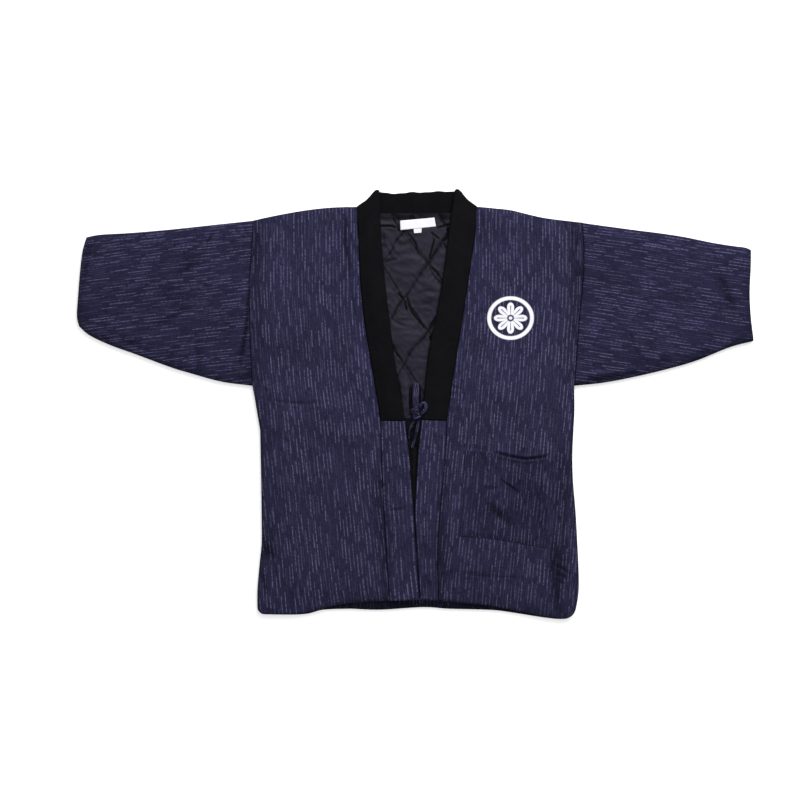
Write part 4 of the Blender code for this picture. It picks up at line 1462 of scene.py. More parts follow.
@dataclass
class Front(Padded):
    """One of the two fronts: a padded panel that lies on the back."""

    shades: list[Shade]
    patch: Patch

    def __post_init__(self) -> None:
        """Finds its seams, and lets its cloth settle."""
        # The grain leans away from the side seam
        self.seam, self.side = self.patch.right, self.patch.left
        if self.lean < 0:
            self.seam, self.side = self.side, self.seam
        self.settled = Padding().settle(self.patch, self.seed)

    def relief(self, spots: Array, u: Array, v: Array) -> Array:
        """The height of the upper face over the back, without its rim.

        Args:
            spots: the points in millimetres.
            u: the parameters of their columns.
            v: the parameters of their rows.

        Returns:
            The height at each point.
        """
        near = nearest(spots, self.side, self.seam, self.patch.bottom, self.patch.top)
        ease = np.minimum(near / SWELL_WIDTH, 1.0)
        wall = FRONT_EDGE_WALL + FRONT_LOFT * swell(near)
        wall = wall + self.uneven(spots, ease, np.minimum(near / 4.0, 1.0), (110.0, 36.0), 90.0)
        wall = wall + self.settled.at(u, v) * SETTLED_GAIN * ease
        gathers = self.gathers(
            spots, (self.side, 0.7, 16.0, 20.0), (self.seam, 0.5, 12.0, 17.0),
            (self.patch.bottom, 0.6, 14.0, 24.0),
        )
        return wall + gathers * np.minimum(near / 3.0, 1.0)

    def painted_shade(self, spots: Array) -> Array:
        """The shade painted on the cloth in its wrinkles, at its rims and seams, and in its shaded
        patches.

        Args:
            spots: the points in millimetres.

        Returns:
            The shade at each point, from 0 to 1.
        """
        x, y = spots[..., 0], spots[..., 1]
        above, low = smoothstep(20.0, 60.0, y), smoothstep(-60.0, -180.0, y)
        from_side, along = self.side.field(spots)
        from_seam, from_hem, from_top = (
            nearest(spots, line) for line in (self.seam, self.patch.bottom, self.patch.top)
        )
        streaks = rumple(np.dstack((from_side, along * 0.06)), self.seed + 6, 7.0)
        uneven = 0.16 + 0.12 * rumple(spots, self.seed + 7, 30.0)
        found = darkest(
            wrinkled(spots, self.wrinkles)[1],
            dark_rim(from_side, 6.4 - 3.0 * above, 0.7) * (1 - 0.7 * above),
            smoothstep(27.0, 8.0, from_side) * (0.2 + 0.13 * streaks) * above,
            smoothstep(17.0, 3.0, from_hem) * uneven,
            smoothstep(10.0, 2.0, from_hem) * 0.62 * bell(x, -30.0, 150.0),
            dark_rim(from_top, 3.4, 0.6), dark_rim(from_hem, 5.0, 0.7),
            seam_shade(spots, self.side, 4.0, 0.4),
            seam_shade(spots, self.seam, 4.0, 0.4) * (1 - 0.6 * low),
            smoothstep(21.0, 3.0, from_seam) * low * self.seam_dark(spots),
        )
        for shade in self.shades:
            found = 1 - (1 - found) * (1 - shade.dark(spots))
        return found

    def cloth(self, spots: Array) -> Array:
        """The place in the cloth, whose grain leans as the front does, and its painted shade."""
        x, y = spots[..., 0], spots[..., 1]
        x = x - cloth_lean(y, self.lean)
        return np.dstack((x + self.seed * 37.0, y + self.seed * 11.0, self.painted_shade(spots)))

    def seam_dark(self, spots: Array) -> Array:
        """How much shade is painted in the valley beside the band's seam: most a hand above the
        hem.
        """
        lumps = 0.1 * rumple(spots, self.seed + 8, 38.0)
        return np.clip(0.33 + 0.16 * bell(spots[..., 1], -288.0, 60.0) + lumps, 0.0, 0.65)

    def build(self, material: Material) -> None:
        """Makes the panel's closed wall.

        Args:
            material: its cloth.
        """
        u, v = self.patch.bottom.stations(2.4), self.patch.left.stations(2.6)
        spots = self.patch.points(u, v)
        hem = nearest(spots, self.patch.bottom, self.patch.top)
        free = np.minimum(hem, nearest(spots, self.side))
        radius = 1.3 + 5.7 * smoothstep(60.0, 20.0, spots[..., 1])
        rim = np.minimum(round_rim(free, radius), round_rim(nearest(spots, self.seam), 1.0))
        rim = np.minimum(rim, round_rim(hem, 6.5))
        plan, wall = soft_corners(spots), self.relief(spots, u, v)
        item = walled(
            self.name, np.dstack((plan, LAY + wall * (1 + rim) / 2)),
            np.dstack((plan, LAY + wall * (1 - rim) / 2)), self.cloth(spots), flat_under=True,
        )
        dress(item, material, [self.node])


@dataclass
class Body:
    """The body: the back, both fronts on it, and the pocket on the wearer's left front."""

    cotton: Material
    cotton_print: Material
    back_step: float = 9.0

    def __post_init__(self) -> None:
        """Lays out the fronts."""
        self.side_right = Outline(SIDE_RIGHT_LOWER, SIDE_RIGHT_MIDDLE, ARMHOLE_RIGHT)
        self.side_left = Outline(SIDE_LEFT_LOWER, SIDE_LEFT_MIDDLE, ARMHOLE_LEFT)
        upper_right = SEAM_RIGHT_UPPER[:-1] + [SEAM_END_RIGHT]
        upper_left = SEAM_LEFT_UPPER[:-1] + [SEAM_END_LEFT]
        shoulder_right = SHOULDER_RIGHT[:-2] + [(-121, 379.0), SEAM_END_RIGHT]
        shoulder_left = [SEAM_END_LEFT, (130, 378.8)] + SHOULDER_LEFT[2:]
        self.right = Front(
            "cloth_front_right", "front_right", 11, 0.098, FRONT_RIGHT_FOLDS,
            FRONT_RIGHT_WRINKLES, FRONT_RIGHT_SHADES,
            Patch(Outline(HEM_FRONT_RIGHT), Outline(shoulder_right), self.side_right,
                  Outline(SEAM_RIGHT_LOWER, SEAM_RIGHT_MIDDLE, upper_right)),
        )
        self.left = Front(
            "cloth_front_left", "front_left", 23, -0.085, FRONT_LEFT_FOLDS,
            FRONT_LEFT_WRINKLES, FRONT_LEFT_SHADES,
            Patch(Outline(HEM_FRONT_LEFT), Outline(shoulder_left),
                  Outline(SEAM_LEFT_LOWER, SEAM_LEFT_MIDDLE, upper_left), self.side_left),
        )

    def make_back(self) -> None:
        """The back panel, flat on the surface."""
        patch = Patch(
            Outline(HEM_BACK_RIGHT, HEM_BACK_MIDDLE, HEM_BACK_LEFT),
            Outline(SHOULDER_RIGHT, NECK_SEAM, SHOULDER_LEFT), self.side_right, self.side_left,
        )
        u, v = patch.bottom.stations(self.back_step), patch.left.stations(self.back_step)
        spots = patch.points(u, v)
        near = nearest(spots, patch.left, patch.right, patch.bottom, patch.top)
        half = BACK_WALL / 2 * round_rim(near, 3.4)
        middle = BACK_WALL / 2
        # The hem strip that shows under the fronts gets a painted shadow of their hems
        hem = np.array(HEM_FRONT_RIGHT[::-1] + HEM_FRONT_LEFT, float)
        hem = hem[np.argsort(hem[:, 0])]
        under_front = np.interp(spots[..., 0], hem[:, 0], hem[:, 1]) - spots[..., 1]
        low = smoothstep(-330.0, -350.0, spots[..., 1])
        shade = 0.97 * smoothstep(-6.0, -1.0, under_front) * low
        painted_shade = np.maximum(dark_rim(near, 4.0, 0.6), shade)
        plan = soft_corners(spots)
        item = walled(
            "cloth_back", np.dstack((plan, middle + half)), np.dstack((plan, middle - half)),
            np.dstack((spots[..., 0] + 911.0, spots[..., 1], painted_shade)),
        )
        dress(item, self.cotton, ["back"])

    def make_pocket(self) -> None:
        """The patch pocket, on the points of the front under it."""
        patch = self.left.patch
        height = (POCKET_ROWS[1] - POCKET_ROWS[0]) * patch.left.lengths[0]
        width = (POCKET_COLUMNS[1] - POCKET_COLUMNS[0]) * patch.bottom.lengths[0]
        u = pocket_stations(POCKET_COLUMNS, width)
        v = pocket_stations(POCKET_ROWS, height)
        spots = patch.points(u, v)
        share = (u - u[0]) / (u[-1] - u[0])
        up = (v - v[0]) / (v[-1] - v[0])
        # The mouth sags between its corners
        sag = 8.6 * smoothstep(0.28, 0.72, share) * smoothstep(1.04, 0.62, share)
        spots[..., 1] -= sag[None, :] * smoothstep(0.55, 1.0, up)[:, None]
        base = LAY + self.left.relief(spots, u, v)
        from_side = np.minimum(share, 1 - share)[None, :] * width
        from_bottom = up[:, None] * height
        from_top = (1 - up)[:, None] * height
        sewn = np.minimum(from_side, from_bottom)
        wall = 0.9 + 1.5 * smoothstep(0.0, 8.0, sewn)
        wall = wall + 1.7 * np.exp(-from_top / 14.0) * smoothstep(4.0, 40.0, sewn)
        rise, dark_folds = wrinkled(spots, POCKET_WRINKLES)
        wall = wall + rise * smoothstep(2.0, 8.0, sewn)
        wall = wall + rumple(spots, 91, 26.0) * 0.25 * smoothstep(0.0, 12.0, sewn)
        near = np.minimum(sewn, from_top)
        upper = base + LAY_GAP + np.maximum(wall, 0.5) * (0.35 + 0.65 * round_rim(near, 1.8))
        cloth = self.left.cloth(spots) + np.array((2.4, 61.0, 0.0))
        # Painted shade: at the seams and the mouth, in the wrinkles, and over the whole pocket,
        # most to its right
        dark = np.maximum(dark_rim(sewn, 3.0, 0.36), dark_rim(from_top, 2.5, 0.6))
        shade = 0.2 + 0.16 * smoothstep(0.35, 0.75, share)[None] + 0 * from_top
        shade = shade + 0.06 * rumple(spots, 92, 34.0)
        cloth[..., 2] = np.minimum(np.maximum(dark, dark_folds * 0.8 + shade), 0.9)
        under = np.dstack((spots, base + LAY_GAP))
        item = walled("cloth_pocket", np.dstack((spots, upper)), under, cloth)
        dress(item, self.cotton, ["pocket_left"])

    def build(self) -> None:
        """Makes the body's four pieces."""
        self.make_back()
        self.right.build(self.cotton)
        self.left.build(self.cotton_print)
        self.make_pocket()


def pocket_stations(limits: tuple[float, float], size: float) -> Array:
    """Grid lines between two parameters, close together near both ends.

    Args:
        limits: the first and the last parameter.
        size: the distance between them in millimetres.

    Returns:
        The parameters, in order.
    """
    rims = np.array((0.35, 0.9, 1.7)) / size
    inner = np.linspace(0, 1, round(size / 2.2) + 1)[1:-1]
    shares = np.concatenate(([0.0], rims, inner, 1 - rims[::-1], [1.0]))
    return limits[0] + (limits[1] - limits[0]) * np.unique(np.sort(shares))


@dataclass
class Sleeve(Padded):
    """A sleeve: one padded tube pressed flat, sewn at the armhole and open at the cuff."""

    under: Line
    top: Line
    armhole: Line
    cuff: Line
    under_shade: float
    seam_dark: float
    step: float = 2.8

    def outer_wall(self, spots: Array, side: Array, armhole: Outline, cuff: Outline) -> Array:
        """The thickness of the upper wall.

        Args:
            spots: the points.
            side: their distance from the folded edges.
            armhole: the seam.
            cuff: the open end.

        Returns:
            The thickness at each point.
        """
        ends = nearest(spots, armhole, cuff)
        ease = np.minimum(side / SWELL_WIDTH, 1.0) * np.minimum(0.4 + ends / 20.0, 1.0)
        wall = SLEEVE_EDGE_WALL + SLEEVE_LOFT * swell(side) * (1 - 0.45 * np.exp(-ends / 7.0))
        free = np.minimum(side / 5.0, 1.0)
        wall = wall + self.uneven(spots, ease, free, (95.0, 32.0), self.lean)
        gathers = self.gathers(
            spots, (armhole, 0.75, 8.0, 9.0), (armhole, 0.6, 24.0, 30.0), (cuff, 0.6, 14.0, 20.0)
        )
        return wall + gathers * np.minimum(side / 8.0, 1.0)

    def build(self, material: Material) -> None:
        """Makes the sleeve.

        Args:
            material: its cloth.
        """
        armhole, cuff = Outline(self.armhole), Outline(self.cuff)
        patch = Patch(Outline(self.under), Outline(self.top), armhole, cuff)
        u, v = patch.bottom.stations(self.step), patch.left.stations(self.step)
        spots = patch.points(u, v)
        side = nearest(spots, patch.bottom, patch.top)
        wall = self.outer_wall(spots, side, armhole, cuff)
        settled = Padding().settle(patch, self.seed).at(u, v) * SETTLED_GAIN
        wall = wall + settled * np.minimum(side / SWELL_WIDTH, 1.0)
        open_end = nearest(spots, cuff)
        roll = round_rim(side, 8.0)
        rim = np.minimum(round_rim(open_end, 3.4), round_rim(nearest(spots, armhole), 0.9))
        half_slit = SLEEVE_SLIT / 2
        middle = SLEEVE_UNDER_WALL + half_slit
        faces = []
        for outer, inner in (
            (middle + (half_slit + wall) * roll, middle + half_slit + 0 * wall),
            (middle - middle * roll, middle - half_slit + 0 * wall),
        ):
            centre, half = (outer + inner) / 2, (outer - inner) / 2 * rim
            faces += [centre + half, centre - half]
        inward = patch.top.at(u) - patch.bottom.at(u)
        inward = (inward / np.linalg.norm(inward, axis=-1, keepdims=True))[None]
        from_under, from_top = (edge.field(spots)[0] for edge in (patch.bottom, patch.top))
        shift = np.exp(-from_under / 20) - np.exp(-from_top / 20)
        inner_spots = spots + inward * (SLEEVE_UNDER_WALL * shift)[..., None]
        along, across = turned(spots, self.lean)
        across = across + self.seed * 53.0
        under = smoothstep(10.0, 2.0, nearest(spots, patch.bottom))
        under = under * (0.8 + 0.35 * rumple(spots, self.seed + 7, 24.0))
        # Painted shade at the cuff, the folded edges, the armhole and the under side, and in the
        # wrinkles
        rim = darkest(
            dark_rim(open_end, 3.0, 0.45), dark_rim(side, 5.0, 0.6),
            dark_rim(open_end, 18.0, 0.4), seam_shade(spots, armhole, 4.0, self.seam_dark),
            seam_shade(spots, cuff, 7.0, 0.6), np.clip(under, 0.0, 1.0) * self.under_shade,
        )
        painted_shade = wrinkled(spots, self.wrinkles)[1]
        item = self.rolled(
            [np.dstack((spots, faces[0])), np.dstack((spots, faces[2]))],
            [np.dstack((inner_spots, faces[1])), np.dstack((inner_spots, faces[3]))],
            [np.dstack((across, along, np.maximum(painted_shade, rim))), np.dstack((across, along, rim))],
        )
        dress(item, material, [self.node])

    def rolled(self, outside: list[Array], inside: list[Array], cloth: list[Array]) -> Object:
        """The closed tube of the sleeve.

        Args:
            outside: the points of the outside that face up, and those that face down.
            inside: the points inside, next to those.
            cloth: the place in the cloth of each point, upper and lower.

        Returns:
            The object.
        """
        columns = cloth[0].shape[1]

        def around(upper: Array, under: Array) -> Array:
            """Both layers as one ring, which meets itself at the folded edges."""
            ends = [(upper[-1] + under[-1]) / 2], [(upper[0] + under[0]) / 2]
            return np.concatenate((upper[1:-1], ends[0], under[-2:0:-1], ends[1]))

        outer, inner, woven = around(*outside), around(*inside), around(*cloth)
        sparse = [1, 2, 3, 4, *range(8, columns - 8, 6), *range(columns - 5, columns - 1)]
        through = [(0, 0.5), *((c, 1.0) for c in range(1, columns - 1)), (columns - 1, 0.5)]
        through += [(c, 0.0) for c in reversed(sparse)]
        order = np.array([c for c, _ in through])
        share = np.array([s for _, s in through])[:, None, None]
        points = outer[:, order].swapaxes(0, 1) * share
        points = points + inner[:, order].swapaxes(0, 1) * (1 - share)
        return wrapped(self.name, points, woven[:, order].swapaxes(0, 1), closed=True)


def rim_shares(width: float, step: float) -> Array:
    """Shares across a band, close together at both rims.

    Args:
        width: the band's width in millimetres.
        step: the usual spacing.

    Returns:
        The shares, in order.
    """
    rims = np.array((0.3, 0.8, 1.6, 2.8)) / width
    inner = np.linspace(0, 1, round(width / step) + 1)[1:-1]
    inner = inner[(inner > rims[-1] * 1.3) & (inner < 1 - rims[-1] * 1.3)]
    return np.concatenate(([0.0], rims, inner, 1 - rims[::-1], [1.0]))


def ruled(start: Array, end: Array, shares: Array) -> tuple[Array, Array, Array]:
    """Rows of points from one edge to another, drawn in by half a seam's gap.

    Args:
        start: the points of the one edge.
        end: those of the other.
        shares: the shares of the way at which a row has its points.

    Returns:
        The points, each row's way from edge to edge, and its length.
    """
    line = end - start
    width = np.hypot(*line.T)[:, None]
    t = shares + SEAM_GAP / 2 / width * (1 - 2 * shares)
    return start[:, None] + line[:, None] * t[..., None], line, width


def collar_middle(t: Array) -> Array:
    """The height of the middle of the collar's wall, from its seam to its free edge."""
    return COLLAR_SEAM_MID + (COLLAR_FREE_MID - COLLAR_SEAM_MID) * smoothstep(0.0, 0.5, t)


@dataclass
class Collar:
    """The black collar, folded over behind the neck, and the two bands that go on from it."""

    black: Material
    cotton: Material
    width: float = 47.0
    rim: float = 3.0

    def rows(self) -> tuple[Array, Array, Array]:
        """The collar's rows from one end to the other.

        Returns:
            The seam points, the free points, and how far the cloth has turned over.
        """
        lower = np.concatenate(([0.0, 0.004, 0.01, 0.02, 0.035], np.linspace(0.07, 1.0, 26)))
        front = np.concatenate((lower, 1 + np.linspace(0, 1, 110)[1:]))
        turns = np.pi * np.linspace(0, 1, 26)[1:-1]
        neck = np.linspace(0, 1, 70)
        across = np.concatenate((0 * turns, neck, 0 * turns + 1))
        seam_rows, free_rows = (
            np.vstack((
                Outline(*right).at(front), Outline(behind).at(across),
                Outline(*left).at(front[::-1]),
            ))
            for right, behind, left in (
                ((SEAM_RIGHT_MIDDLE, SEAM_RIGHT_UPPER), NECK_SEAM,
                 (SEAM_LEFT_MIDDLE, SEAM_LEFT_UPPER)),
                ((FREE_RIGHT_MIDDLE, FREE_RIGHT_UPPER), NECK_FREE,
                 (FREE_LEFT_MIDDLE, FREE_LEFT_UPPER)),
            )
        )
        over = np.concatenate((
            0 * front, turns, np.full(len(neck), np.pi), turns[::-1], 0 * front,
        ))
        return seam_rows, free_rows, over

    def faces(self, shares: Array) -> tuple[Array, Array, Array]:
        """The points of the collar's two faces.

        Args:
            shares: its shares across, from the seam.

        Returns:
            The upper face, the under face and the length along.
        """
        seam_rows, free_rows, over = self.rows()
        spots, line, width = ruled(seam_rows, free_rows, shares)
        outer_way = np.stack((-line[:, 1], line[:, 0]), axis=-1) / width
        outer_way = np.where(outer_way[:, 1:] < 0, -outer_way, outer_way)
        middle = collar_middle(shares)[None, :]
        radius = (middle - BACK_WALL / 2) / 2
        centre = BACK_WALL / 2 + radius
        along = lengths_along((seam_rows + free_rows) / 2)
        near = np.minimum(shares, 1 - shares)[None, :] * width
        near = np.minimum(near, np.minimum(along, along[-1] - along)[:, None])
        half = COLLAR_WALL / 2 * round_rim(near, self.rim)
        facing = np.cos(over)[:, None]
        uneven = rumple(spots, 71, 60.0) * 0.5 + rumple(spots, 72, 22.0) * 0.2
        uneven = uneven * np.minimum(near / 8.0, 1.0)
        # A line of stitches runs beside the seam
        uneven = uneven - 0.5 * bell(shares[None, :] * width, STITCH_PLACE, STITCH_WIDTH)
        # The fold is softer at its corners
        soft = np.interp(
            shares, (0.0, 0.12, 0.28, 0.4, 0.5, 0.68, 0.82, 0.92, 1.0),
            (1.0, 0.92, 0.68, 0.5, 0.48, 0.6, 0.74, 0.74, 0.5),
        )
        wave = rumple(spots, 73, 30.0, waves=9) * 0.8 * smoothstep(0.45, 1.0, shares)
        spots[..., 1] += wave * (over > 3.1)[:, None]
        found = []
        for side in (1.0, -1.0):
            lift = half * side + uneven * (side * facing > 0) * np.abs(facing) * side
            reach = (radius + lift) * np.sin(over)[:, None] * soft[None, :]
            height = centre + (radius + lift) * facing
            place = spots + outer_way[:, None] * reach[..., None]
            place[[0, -1], :, 1] += SEAM_GAP / 2
            found.append(np.dstack((place, height)))
        return found[0], found[1], along

    def make_band(self, side: str, inner: Line, free: Line, folds: list[Wrinkle]) -> None:
        """A lower band, in the garment's cloth.

        Args:
            side: the wearer's side.
            inner: its edge at the front's seam.
            free: its free edge.
            folds: its wrinkles.
        """
        seam = Outline(inner)
        seed = 61 if side == "right" else 67
        shares = rim_shares(self.width, 2.4)[None, :]
        v = seam.stations(2.8, (0.35, 1.0, 2.0, 3.0))
        spots, _, width = ruled(seam.at(v), Outline(free).at(v), shares)
        from_seam = shares * width
        spots[0, :, 1] += SEAM_GAP / 2
        spots[-1, :, 1] -= SEAM_GAP / 2
        on_lining = smoothstep(BAND_DROP_BOTTOM, BAND_DROP_TOP, spots[..., 1])
        flat = COLLAR_SEAM_MID + (BAND_FREE_MID_AT_HEM - COLLAR_SEAM_MID) * shares
        middle = flat + (collar_middle(shares) - flat) * on_lining
        ends = np.minimum(v, 1 - v)[:, None] * seam.lengths[0]
        near = np.minimum(np.minimum(shares, 1 - shares) * width, ends)
        free_near = np.minimum((1 - shares) * width, ends)
        at_seam = round_rim(from_seam, 1.0)
        half = COLLAR_WALL / 2 * np.minimum(round_rim(free_near, self.rim), at_seam)
        uneven = rumple(spots, seed, 60.0) * 0.5
        uneven = uneven + rumple(spots, seed + 1, 20.0) * 0.22
        rise, painted_shade = wrinkled(spots, folds)
        uneven = (uneven + rise) * np.minimum(near / 6.0, 1.0)
        uneven = uneven - 0.4 * bell(from_seam, STITCH_PLACE, STITCH_WIDTH)
        # Painted shade in the valley by the seam, at the free edge and in the wrinkles
        low = smoothstep(-60.0, -180.0, spots[..., 1])
        valley = smoothstep(12.0, 2.0, from_seam) * low
        valley = valley * (0.3 + 0.12 * rumple(spots, seed + 2, 38.0))
        painted_shade = darkest(painted_shade, dark_rim(free_near, 3.0, 0.4), valley)
        cloth = np.dstack((
            *np.meshgrid(shares[0] * self.width + seed * 29.0, seam.lengths[0] * v), painted_shade,
        ))
        item = walled(
            f"cloth_band_{side}", np.dstack((spots, middle + half + uneven)),
            np.dstack((spots, middle - half)), cloth,
        )
        dress(item, self.cotton, [f"band_{side}"])

    def build(self) -> None:
        """Makes the collar and both bands."""
        shares = rim_shares(self.width, 2.4)
        upper, under, along = self.faces(shares)
        near = np.minimum(shares, 1 - shares) * self.width
        # Painted shade at the rims, behind the neck next to the lining and over the turned-over
        # band
        behind = smoothstep(352.0, 358.0, under[..., 1]) * (np.abs(under[..., 0]) < 90)
        behind = behind * smoothstep(0.62, 0.0, shares)[None]
        painted_shade = darkest(
            dark_rim(near, 3.0, 0.5), 0.4 * behind, 0.2 * (self.rows()[2] > 3.1)[:, None]
        )
        cloth = np.dstack((*np.meshgrid(shares * self.width, along), painted_shade))
        item = walled("cloth_collar", upper, under, cloth)
        dress(item, self.black, ["collar"])
        self.make_band("right", SEAM_RIGHT_LOWER, FREE_RIGHT_LOWER, BAND_RIGHT_WRINKLES)
        self.make_band("left", SEAM_LEFT_LOWER, FREE_LEFT_LOWER, BAND_LEFT_WRINKLES)


@dataclass
class Lining:
    """The quilted lining, where it shows, with the blank label and its tab."""

    taffeta: Material
    woven: Material
    columns: int = 112
    rows: int = 380
    bottom: float = -228.0

    def quilting(self, spots: Array) -> tuple[Array, Array]:
        """The quilted diamonds, with the puckers that their stitches draw up.

        Args:
            spots: the points in millimetres.

        Returns:
            The height over the stitched lines, and the distance from the nearest of them.
        """
        moved = spots + np.dstack([rumple(spots, seed, 52.0) * 2.0 for seed in (81, 82)])
        across = (moved[..., 0] - DIAMOND_X) / DIAMOND_WIDTH
        along = (moved[..., 1] - DIAMOND_Y) / DIAMOND_LENGTH
        rising, falling = across + along, across - along
        scale = 1 / math.hypot(1 / DIAMOND_WIDTH, 1 / DIAMOND_LENGTH)
        far_rising = np.abs(rising - np.rint(rising)) * scale
        far_falling = np.abs(falling - np.rint(falling)) * scale
        stitch = np.minimum(far_rising, far_falling)
        puff = np.abs(np.sin(np.pi * rising) * np.sin(np.pi * falling)) ** 0.5
        height = LINING_PUFF * puff - 0.8 * bell(stitch, 0.0, 1.9)
        for far, run, seed in ((far_rising, falling, 83), (far_falling, rising, 84)):
            strip = np.stack((run * scale * 1.2, far * 0.3), axis=-1)
            height += rumple(strip, seed, 13.0, waves=10) * np.exp(-far / 9.0)
        height += rumple(spots, 85, 31.0, 0.45) * 0.9 * puff
        height += rumple(spots, 86, 19.0, 0.5) * 0.3 * puff
        return height + wrinkled(spots, LINING_WRINKLES)[0] * 0.8, stitch

    def make_lining(self) -> None:
        """The lining's piece; it lies lower in the narrow opening under the bow."""
        left, right = Outline(LINING_RIGHT), Outline(LINING_LEFT)
        patch = Patch(
            Outline([LINING_RIGHT[0], LINING_LEFT[0]]),
            Outline([LINING_RIGHT[-1], LINING_LEFT[-1]]), left, right,
        )
        u, v = np.linspace(0, 1, self.columns), np.linspace(0, 1, self.rows)
        spots = patch.points(u, v)
        near = nearest(spots, left, right)
        puff, stitch = self.quilting(spots)
        settled = Padding(spacing=5.0, slack=0.016, most=4.0).settle(patch, 87).at(u, v)
        puff = puff + settled * 0.5 * smoothstep(0.0, 9.0, stitch)
        wall = LINING_GROOVE_WALL + puff * np.minimum(near / SWELL_WIDTH + 0.25, 1.0)
        low = smoothstep(-22.0, -46.0, spots[..., 1])
        wall = np.maximum(wall * (1 - 0.55 * low), 0.7)
        # The stitches pull in more here and less there, so their painted shade reaches further or
        # less far
        pull = np.clip(1 + 0.7 * rumple(spots, 88, 26.0), 0.4, 2.0)
        # Painted shade along the stitches, in the wrinkles, by the edges and the neck, and in the
        # opening under the bow, where a narrow strip of it is painted lighter
        lit = bell(spots[..., 0], 0.0, 3.5) * smoothstep(-90.0, -102.0, spots[..., 1])
        painted_shade = darkest(
            dark_rim(stitch, 2.1 * pull, 1.0), dark_rim(stitch, 8.0 * pull, 0.34),
            wrinkled(spots, LINING_WRINKLES)[1] * 1.4, dark_rim(near, 9.0, 0.75),
            dark_rim(357.5 - spots[..., 1], 7.0, 0.85), low * (1 - 0.2 * lit),
        )
        item = walled(
            "quilted_lining", np.dstack((spots, LAY + wall)), np.dstack((spots, LAY + 0 * wall)),
            np.dstack((spots, np.minimum(painted_shade, 1.0))), flat_under=True,
        )
        dress(item, self.taffeta, ["lining"])

    def make_label(
        self, name: str, node: str, upper: Line, lower: Line, lift: float,
    ) -> None:
        """A small blank label.

        Args:
            name: the piece's name.
            node: the node that it replaces.
            upper: its upper edge.
            lower: its lower edge.
            lift: how far it lifts from the lining.
        """
        low, high = np.array(lower, float), np.array(upper, float)
        u, v = np.linspace(0, 1, 40)[None, :, None], np.linspace(0, 1, 14)[:, None, None]
        spots = (low[0] * (1 - u) + low[1] * u) * (1 - v) + (high[0] * (1 - u) + high[1] * u) * v
        wave = np.sin(u[..., 0] * 7.0 + 0.6) + 0.5 * np.sin(u[..., 0] * 15.0) * v[..., 0]
        height = LABEL_HEIGHT + lift * (1 + wave)
        item = walled(
            name, np.dstack((spots, height + LABEL_WALL * 0.6)), np.dstack((spots, height)),
            np.dstack((spots, 0 * height)),
        )
        dress(item, self.woven, [node])

    def build(self) -> None:
        """Makes the lining, the label and its tab."""
        self.make_lining()
        self.make_label("blank_label", "label", LABEL_UPPER, LABEL_LOWER, 0.45)
        self.make_label("blank_tab", "size_tab", TAB_UPPER, TAB_LOWER, 0.2)


class End(Enum):
    """What a stretch of tie ends in."""

    BARE = "bare"
    OBJECT = "object"


@dataclass
class Strand:
    """A stretch of tie: a flat tube of the garment's cloth, pressed and a little rumpled."""

    name: str
    node: str
    bends: list[tuple[float, float, float]]
    seed: int
    end: End | None = None
    width: float = 6.6
    height: float = 4.4
    roll: float = 0.25
    shade: float = 0.1

    def spine(self) -> Array:
        """The points that its middle follows, in millimetres."""
        bends = np.array(self.bends, float) + np.array((0.0, 0.0, LINING_TOP))
        points, lengths = smooth_line(bends)
        wanted = np.linspace(0, lengths[-1], max(16, round(lengths[-1] / 1.1)))
        return np.stack([np.interp(wanted, lengths, axis) for axis in points.T], axis=-1)

    def build(self, material: Material) -> Object:
        """Args:
            material: its cloth.

        Returns:
            The piece.
        """
        spine = self.spine()
        along = lengths_along(spine)
        tangent = np.gradient(spine, axis=0)
        tangent /= np.linalg.norm(tangent, axis=1, keepdims=True)
        side = np.cross(tangent, (0.0, 0.0, 1.0))
        side /= np.linalg.norm(side, axis=1, keepdims=True)
        normal = np.cross(side, tangent)
        twist = self.roll * np.sin(along / 17.0 + self.seed)
        side, normal = (
            side * np.cos(twist)[:, None] + normal * np.sin(twist)[:, None],
            normal * np.cos(twist)[:, None] - side * np.sin(twist)[:, None],
        )
        angle = np.linspace(-np.pi / 2, 1.5 * np.pi, 23)[:-1]
        wide = np.sign(np.cos(angle)) * np.abs(np.cos(angle)) ** 0.85 * self.width / 2
        tall = np.sign(np.sin(angle)) * np.abs(np.sin(angle)) ** 0.85 * self.height / 2
        strip = np.dstack(np.meshgrid(angle * 3.0, along))
        uneven = 1 + 0.09 * rumple(strip, self.seed, 7.0, waves=14)
        # Painted shade on the tie's hidden under side, and its own painted shade all over
        hidden = np.broadcast_to(smoothstep(0.9, -0.2, np.sin(angle)), strip.shape[:2])
        painted_shade = self.shade + (1 - self.shade) * 0.6 * hidden
        ends = np.minimum(along, along[-1] - along)
        # Painted shade where the cloth comes out of the knot
        tucked = ends if self.end is not End.BARE else along
        painted_shade = np.maximum(painted_shade, 0.85 * np.exp(-tucked / 9.0)[:, None])
        scale = (uneven * np.where(ends < 1e-6, 0.0, round_rim(ends, 2.6))[:, None])[..., None]
        points = spine[:, None] + scale * (
            side[:, None] * wide[None, :, None] + normal[:, None] * tall[None, :, None]
        )
        cloth = np.dstack((strip + np.array((self.seed * 17.0, self.seed * 23.0)), painted_shade))
        item = wrapped(self.name, points, cloth, closed=False)
        dress(item, material, [self.node])
        if self.end is not None:
            self.width * MM
        return item


